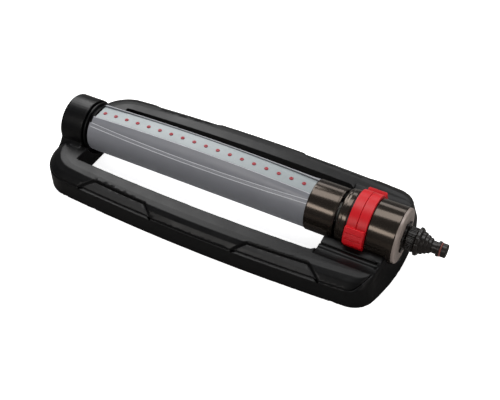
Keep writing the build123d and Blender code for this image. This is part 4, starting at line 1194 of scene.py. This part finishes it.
@dataclass
class HoseInlet:
    """Stub with lobed flange, swivel nut and the adaptor with its plug."""

    axis: Line
    repeat: Repeater
    nut_r: float = 13.3
    rib_r: float = 0.62
    ribs: int = 36
    fine: Mould = Mould(voxel=0.22, passes=3, budget=70000)

    def build(self) -> None:
        """Builds and dresses the pieces of the inlet."""
        stub = self.fine.remould("inlet_stub", "lobed_inlet_stub")
        dress(stub, HOSE_BLACK, "base", ["inlet_stub"])
        dress(self.nut(), HOSE_BLACK, "hose_swivel", ["swivel_nut"])
        dress(self.nut_ribs(), HOSE_BLACK, "hose_swivel", ["swivel_nut"])
        adaptor = self.fine.remould("hose_adaptor", "stepped_hose_plug")
        dress(adaptor, HOSE_BLACK, "hose_swivel", ["hose_adaptor"])
        refinish("stub_clip", STEEL)
        refinish("inlet_screen", STEEL)
        refinish("nut_washer", SEAL_BLACK)
        refinish("adaptor_oring", SEAL_RED)

    def nut(self) -> bpy.types.Object:
        """Barrel of the swivel nut with rounded shoulders."""
        low, high = box_mm("swivel_nut")
        a, b, r = low.x, high.x, self.nut_r - self.rib_r
        return revolve("swivel_nut_barrel", rounded([
            (a, 9.1, 0.2), (a, r - 1.0, 0.6), (a + 1.0, r, 0.5), (b - 1.0, r, 0.5), (b, r - 1.0, 0.6),
            (b, 10.5, 0.2), (a + 6.0, 10.5, 0.2), (a + 5.8, 9.1, 0.2)], 4), self.axis.at, 120)

    def nut_ribs(self) -> bpy.types.Object:
        """Round grip ribs on the swivel nut."""
        low, high = box_mm("swivel_nut")
        half = (high.x - low.x) / 2 - 1.0
        steps = 10
        turns = [FULL_TURN * k / steps for k in range(steps)]
        rings = []
        for i in range(steps + 1):
            t = -1 + 2 * i / steps
            r = self.rib_r * math.sqrt(max(0.02, 1 - abs(t) ** 6))
            rings.append([Vector((t * half, r * math.cos(turn), r * math.sin(turn))) * MM for turn in turns])
        rib = loft("rib", rings, 60.0)
        return self.repeat.lay("swivel_nut_ribs", Repeat.RING, rib, HOSE_BLACK.material(), self.ribs,
                               Radius=(self.nut_r - self.rib_r) * MM, X=(low.x + high.x) / 2 * MM,
                               Axis_Z=self.axis.z * MM, First_Angle=0.0, Step_Angle=FULL_TURN / self.ribs)


# ---------------------------------------------------------------- studio

@dataclass(frozen=True)
class SoftBox:
    """One area light that looks at the object."""

    name: str
    place: tuple[float, float, float]
    size: tuple[float, float]
    power: float
    colour: tuple[float, float, float] = (1.0, 1.0, 1.0)

    def light(self, target: Vector) -> None:
        """Adds the light and turns it to the target."""
        data = bpy.data.lights.new(self.name, "AREA")
        data.shape = "RECTANGLE"
        data.size, data.size_y = self.size
        data.energy = self.power
        data.color = self.colour
        lamp = bpy.data.objects.new(self.name, data)
        lamp.location = self.place
        lamp.rotation_euler = (target - Vector(self.place)).to_track_quat("-Z", "Y").to_euler()
        bpy.context.scene.collection.objects.link(lamp)


@dataclass
class Studio:
    """Pale floor, soft lights and the camera."""

    azimuth: float = 27.82
    elevation: float = 44.27
    distance: float = 0.93022
    target: tuple[float, float, float] = (0.01562, -0.02021, 0.030)
    lens: float = 61.2
    sensor: float = 36.0
    floor_half: float = 6.0
    floor_colour: tuple[float, float, float] = (0.88, 0.88, 0.88)
    floor_glow: float = 0.85
    mirrored_colour: tuple[float, float, float] = (0.16, 0.15, 0.14)
    mirrored_glow: float = 0.02
    lights: tuple[SoftBox, ...] = (
        SoftBox("top_box", (-0.05, 0.25, 1.15), (1.3, 0.55), 8.0),
        SoftBox("front_box", (-0.35, -1.15, 0.85), (0.9, 0.35), 5.0, (1.0, 0.97, 0.93)),
        SoftBox("back_box", (0.2, 1.2, 0.75), (1.4, 0.4), 4.0),
        SoftBox("end_box", (1.25, -0.25, 0.5), (0.5, 0.5), 2.0, (1.0, 0.95, 0.9)),
        SoftBox("sheen_box", (-0.85, 0.80, 1.05), (0.9, 0.8), 13.0),
    )

    def build(self) -> None:
        """Builds floor, lights, world and camera."""
        half = self.floor_half
        corners = [(-half, -half, 0.0), (half, -half, 0.0), (half, half, 0.0), (-half, half, 0.0)]
        mesh = bpy.data.meshes.new("floor")
        mesh.from_pydata(corners, [], [(0, 1, 2, 3)])
        floor = bpy.data.objects.new("floor", mesh)
        bpy.context.scene.collection.objects.link(floor)
        floor.data.materials.append(self.floor_material())
        for box in self.lights:
            box.light(Vector(self.target))
        self.world()
        self.camera()

    def floor_material(self) -> bpy.types.Material:
        """Matt white paper with a trace of tone."""
        material = bpy.data.materials.new("studio_paper")
        material.use_nodes = True
        nodes, links = material.node_tree.nodes, material.node_tree.links
        shader = nodes["Principled BSDF"]
        shader.inputs["Roughness"].default_value = 0.9
        shader.inputs["Specular IOR Level"].default_value = 0.1
        noise = nodes.new("ShaderNodeTexNoise")
        noise.inputs["Scale"].default_value = 3.0
        links.new(nodes.new("ShaderNodeTexCoord").outputs["Object"], noise.inputs["Vector"])
        mix = nodes.new("ShaderNodeMix")
        mix.data_type = "RGBA"
        links.new(noise.outputs["Fac"], mix.inputs[0])
        mix.inputs[6].default_value = (*self.floor_colour, 1.0)
        mix.inputs[7].default_value = (*(c * 1.02 for c in self.floor_colour), 1.0)
        shader.inputs["Emission Color"].default_value = (1.0, 1.0, 1.0, 1.0)
        mirrored = nodes.new("ShaderNodeLightPath").outputs["Is Glossy Ray"]
        dim = nodes.new("ShaderNodeMix")
        dim.data_type = "RGBA"
        links.new(mirrored, dim.inputs[0])
        links.new(mix.outputs[2], dim.inputs[6])
        dim.inputs[7].default_value = (*self.mirrored_colour, 1.0)
        links.new(dim.outputs[2], shader.inputs["Base Color"])
        glow = window(material.node_tree, mirrored, To_Min=self.floor_glow, To_Max=self.mirrored_glow)
        links.new(glow, shader.inputs["Emission Strength"])
        return material

    def world(self) -> None:
        """Even pale surroundings."""
        world = bpy.data.worlds.new("studio")
        bpy.context.scene.world = world
        world.use_nodes = True
        background = world.node_tree.nodes["Background"]
        background.inputs["Color"].default_value = (0.9, 0.92, 0.95, 1.0)
        background.inputs["Strength"].default_value = 0.12

    def camera(self) -> None:
        """Camera at the viewing angle of the product view."""
        a, e = math.radians(self.azimuth), math.radians(self.elevation)
        back = Vector((math.sin(a) * math.cos(e), -math.cos(a) * math.cos(e), math.sin(e)))
        data = bpy.data.cameras.new("camera")
        data.lens = self.lens
        data.sensor_width = self.sensor
        camera = bpy.data.objects.new("camera", data)
        camera.location = Vector(self.target) + back * self.distance
        camera.rotation_euler = (-back).to_track_quat("-Z", "Y").to_euler()
        bpy.context.scene.collection.objects.link(camera)
        bpy.context.scene.camera = camera
        bpy.context.scene.view_settings.view_transform = "Standard"


def main() -> None:
    """Builds every sub-assembly around the frame and sets up the studio."""
    logging.basicConfig(level=logging.INFO, format="%(name)s %(message)s")
    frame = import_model()
    axis = Line.from_joint(frame["joints"], "tube_swing")
    repeat = Repeater()
    middle_x = box_mm("base_shell")[0].x + BASE_LEFT_LENGTH
    GroundBase(axis, middle_x).build()
    SprayTube(axis, repeat, middle_x - TUBE_MIDDLE_BACK).build()
    MotorHead(axis).build()
    LimitRings().build()
    HoseInlet(axis, repeat).build()
    Studio().build()


if __name__ == "__main__":
    main()
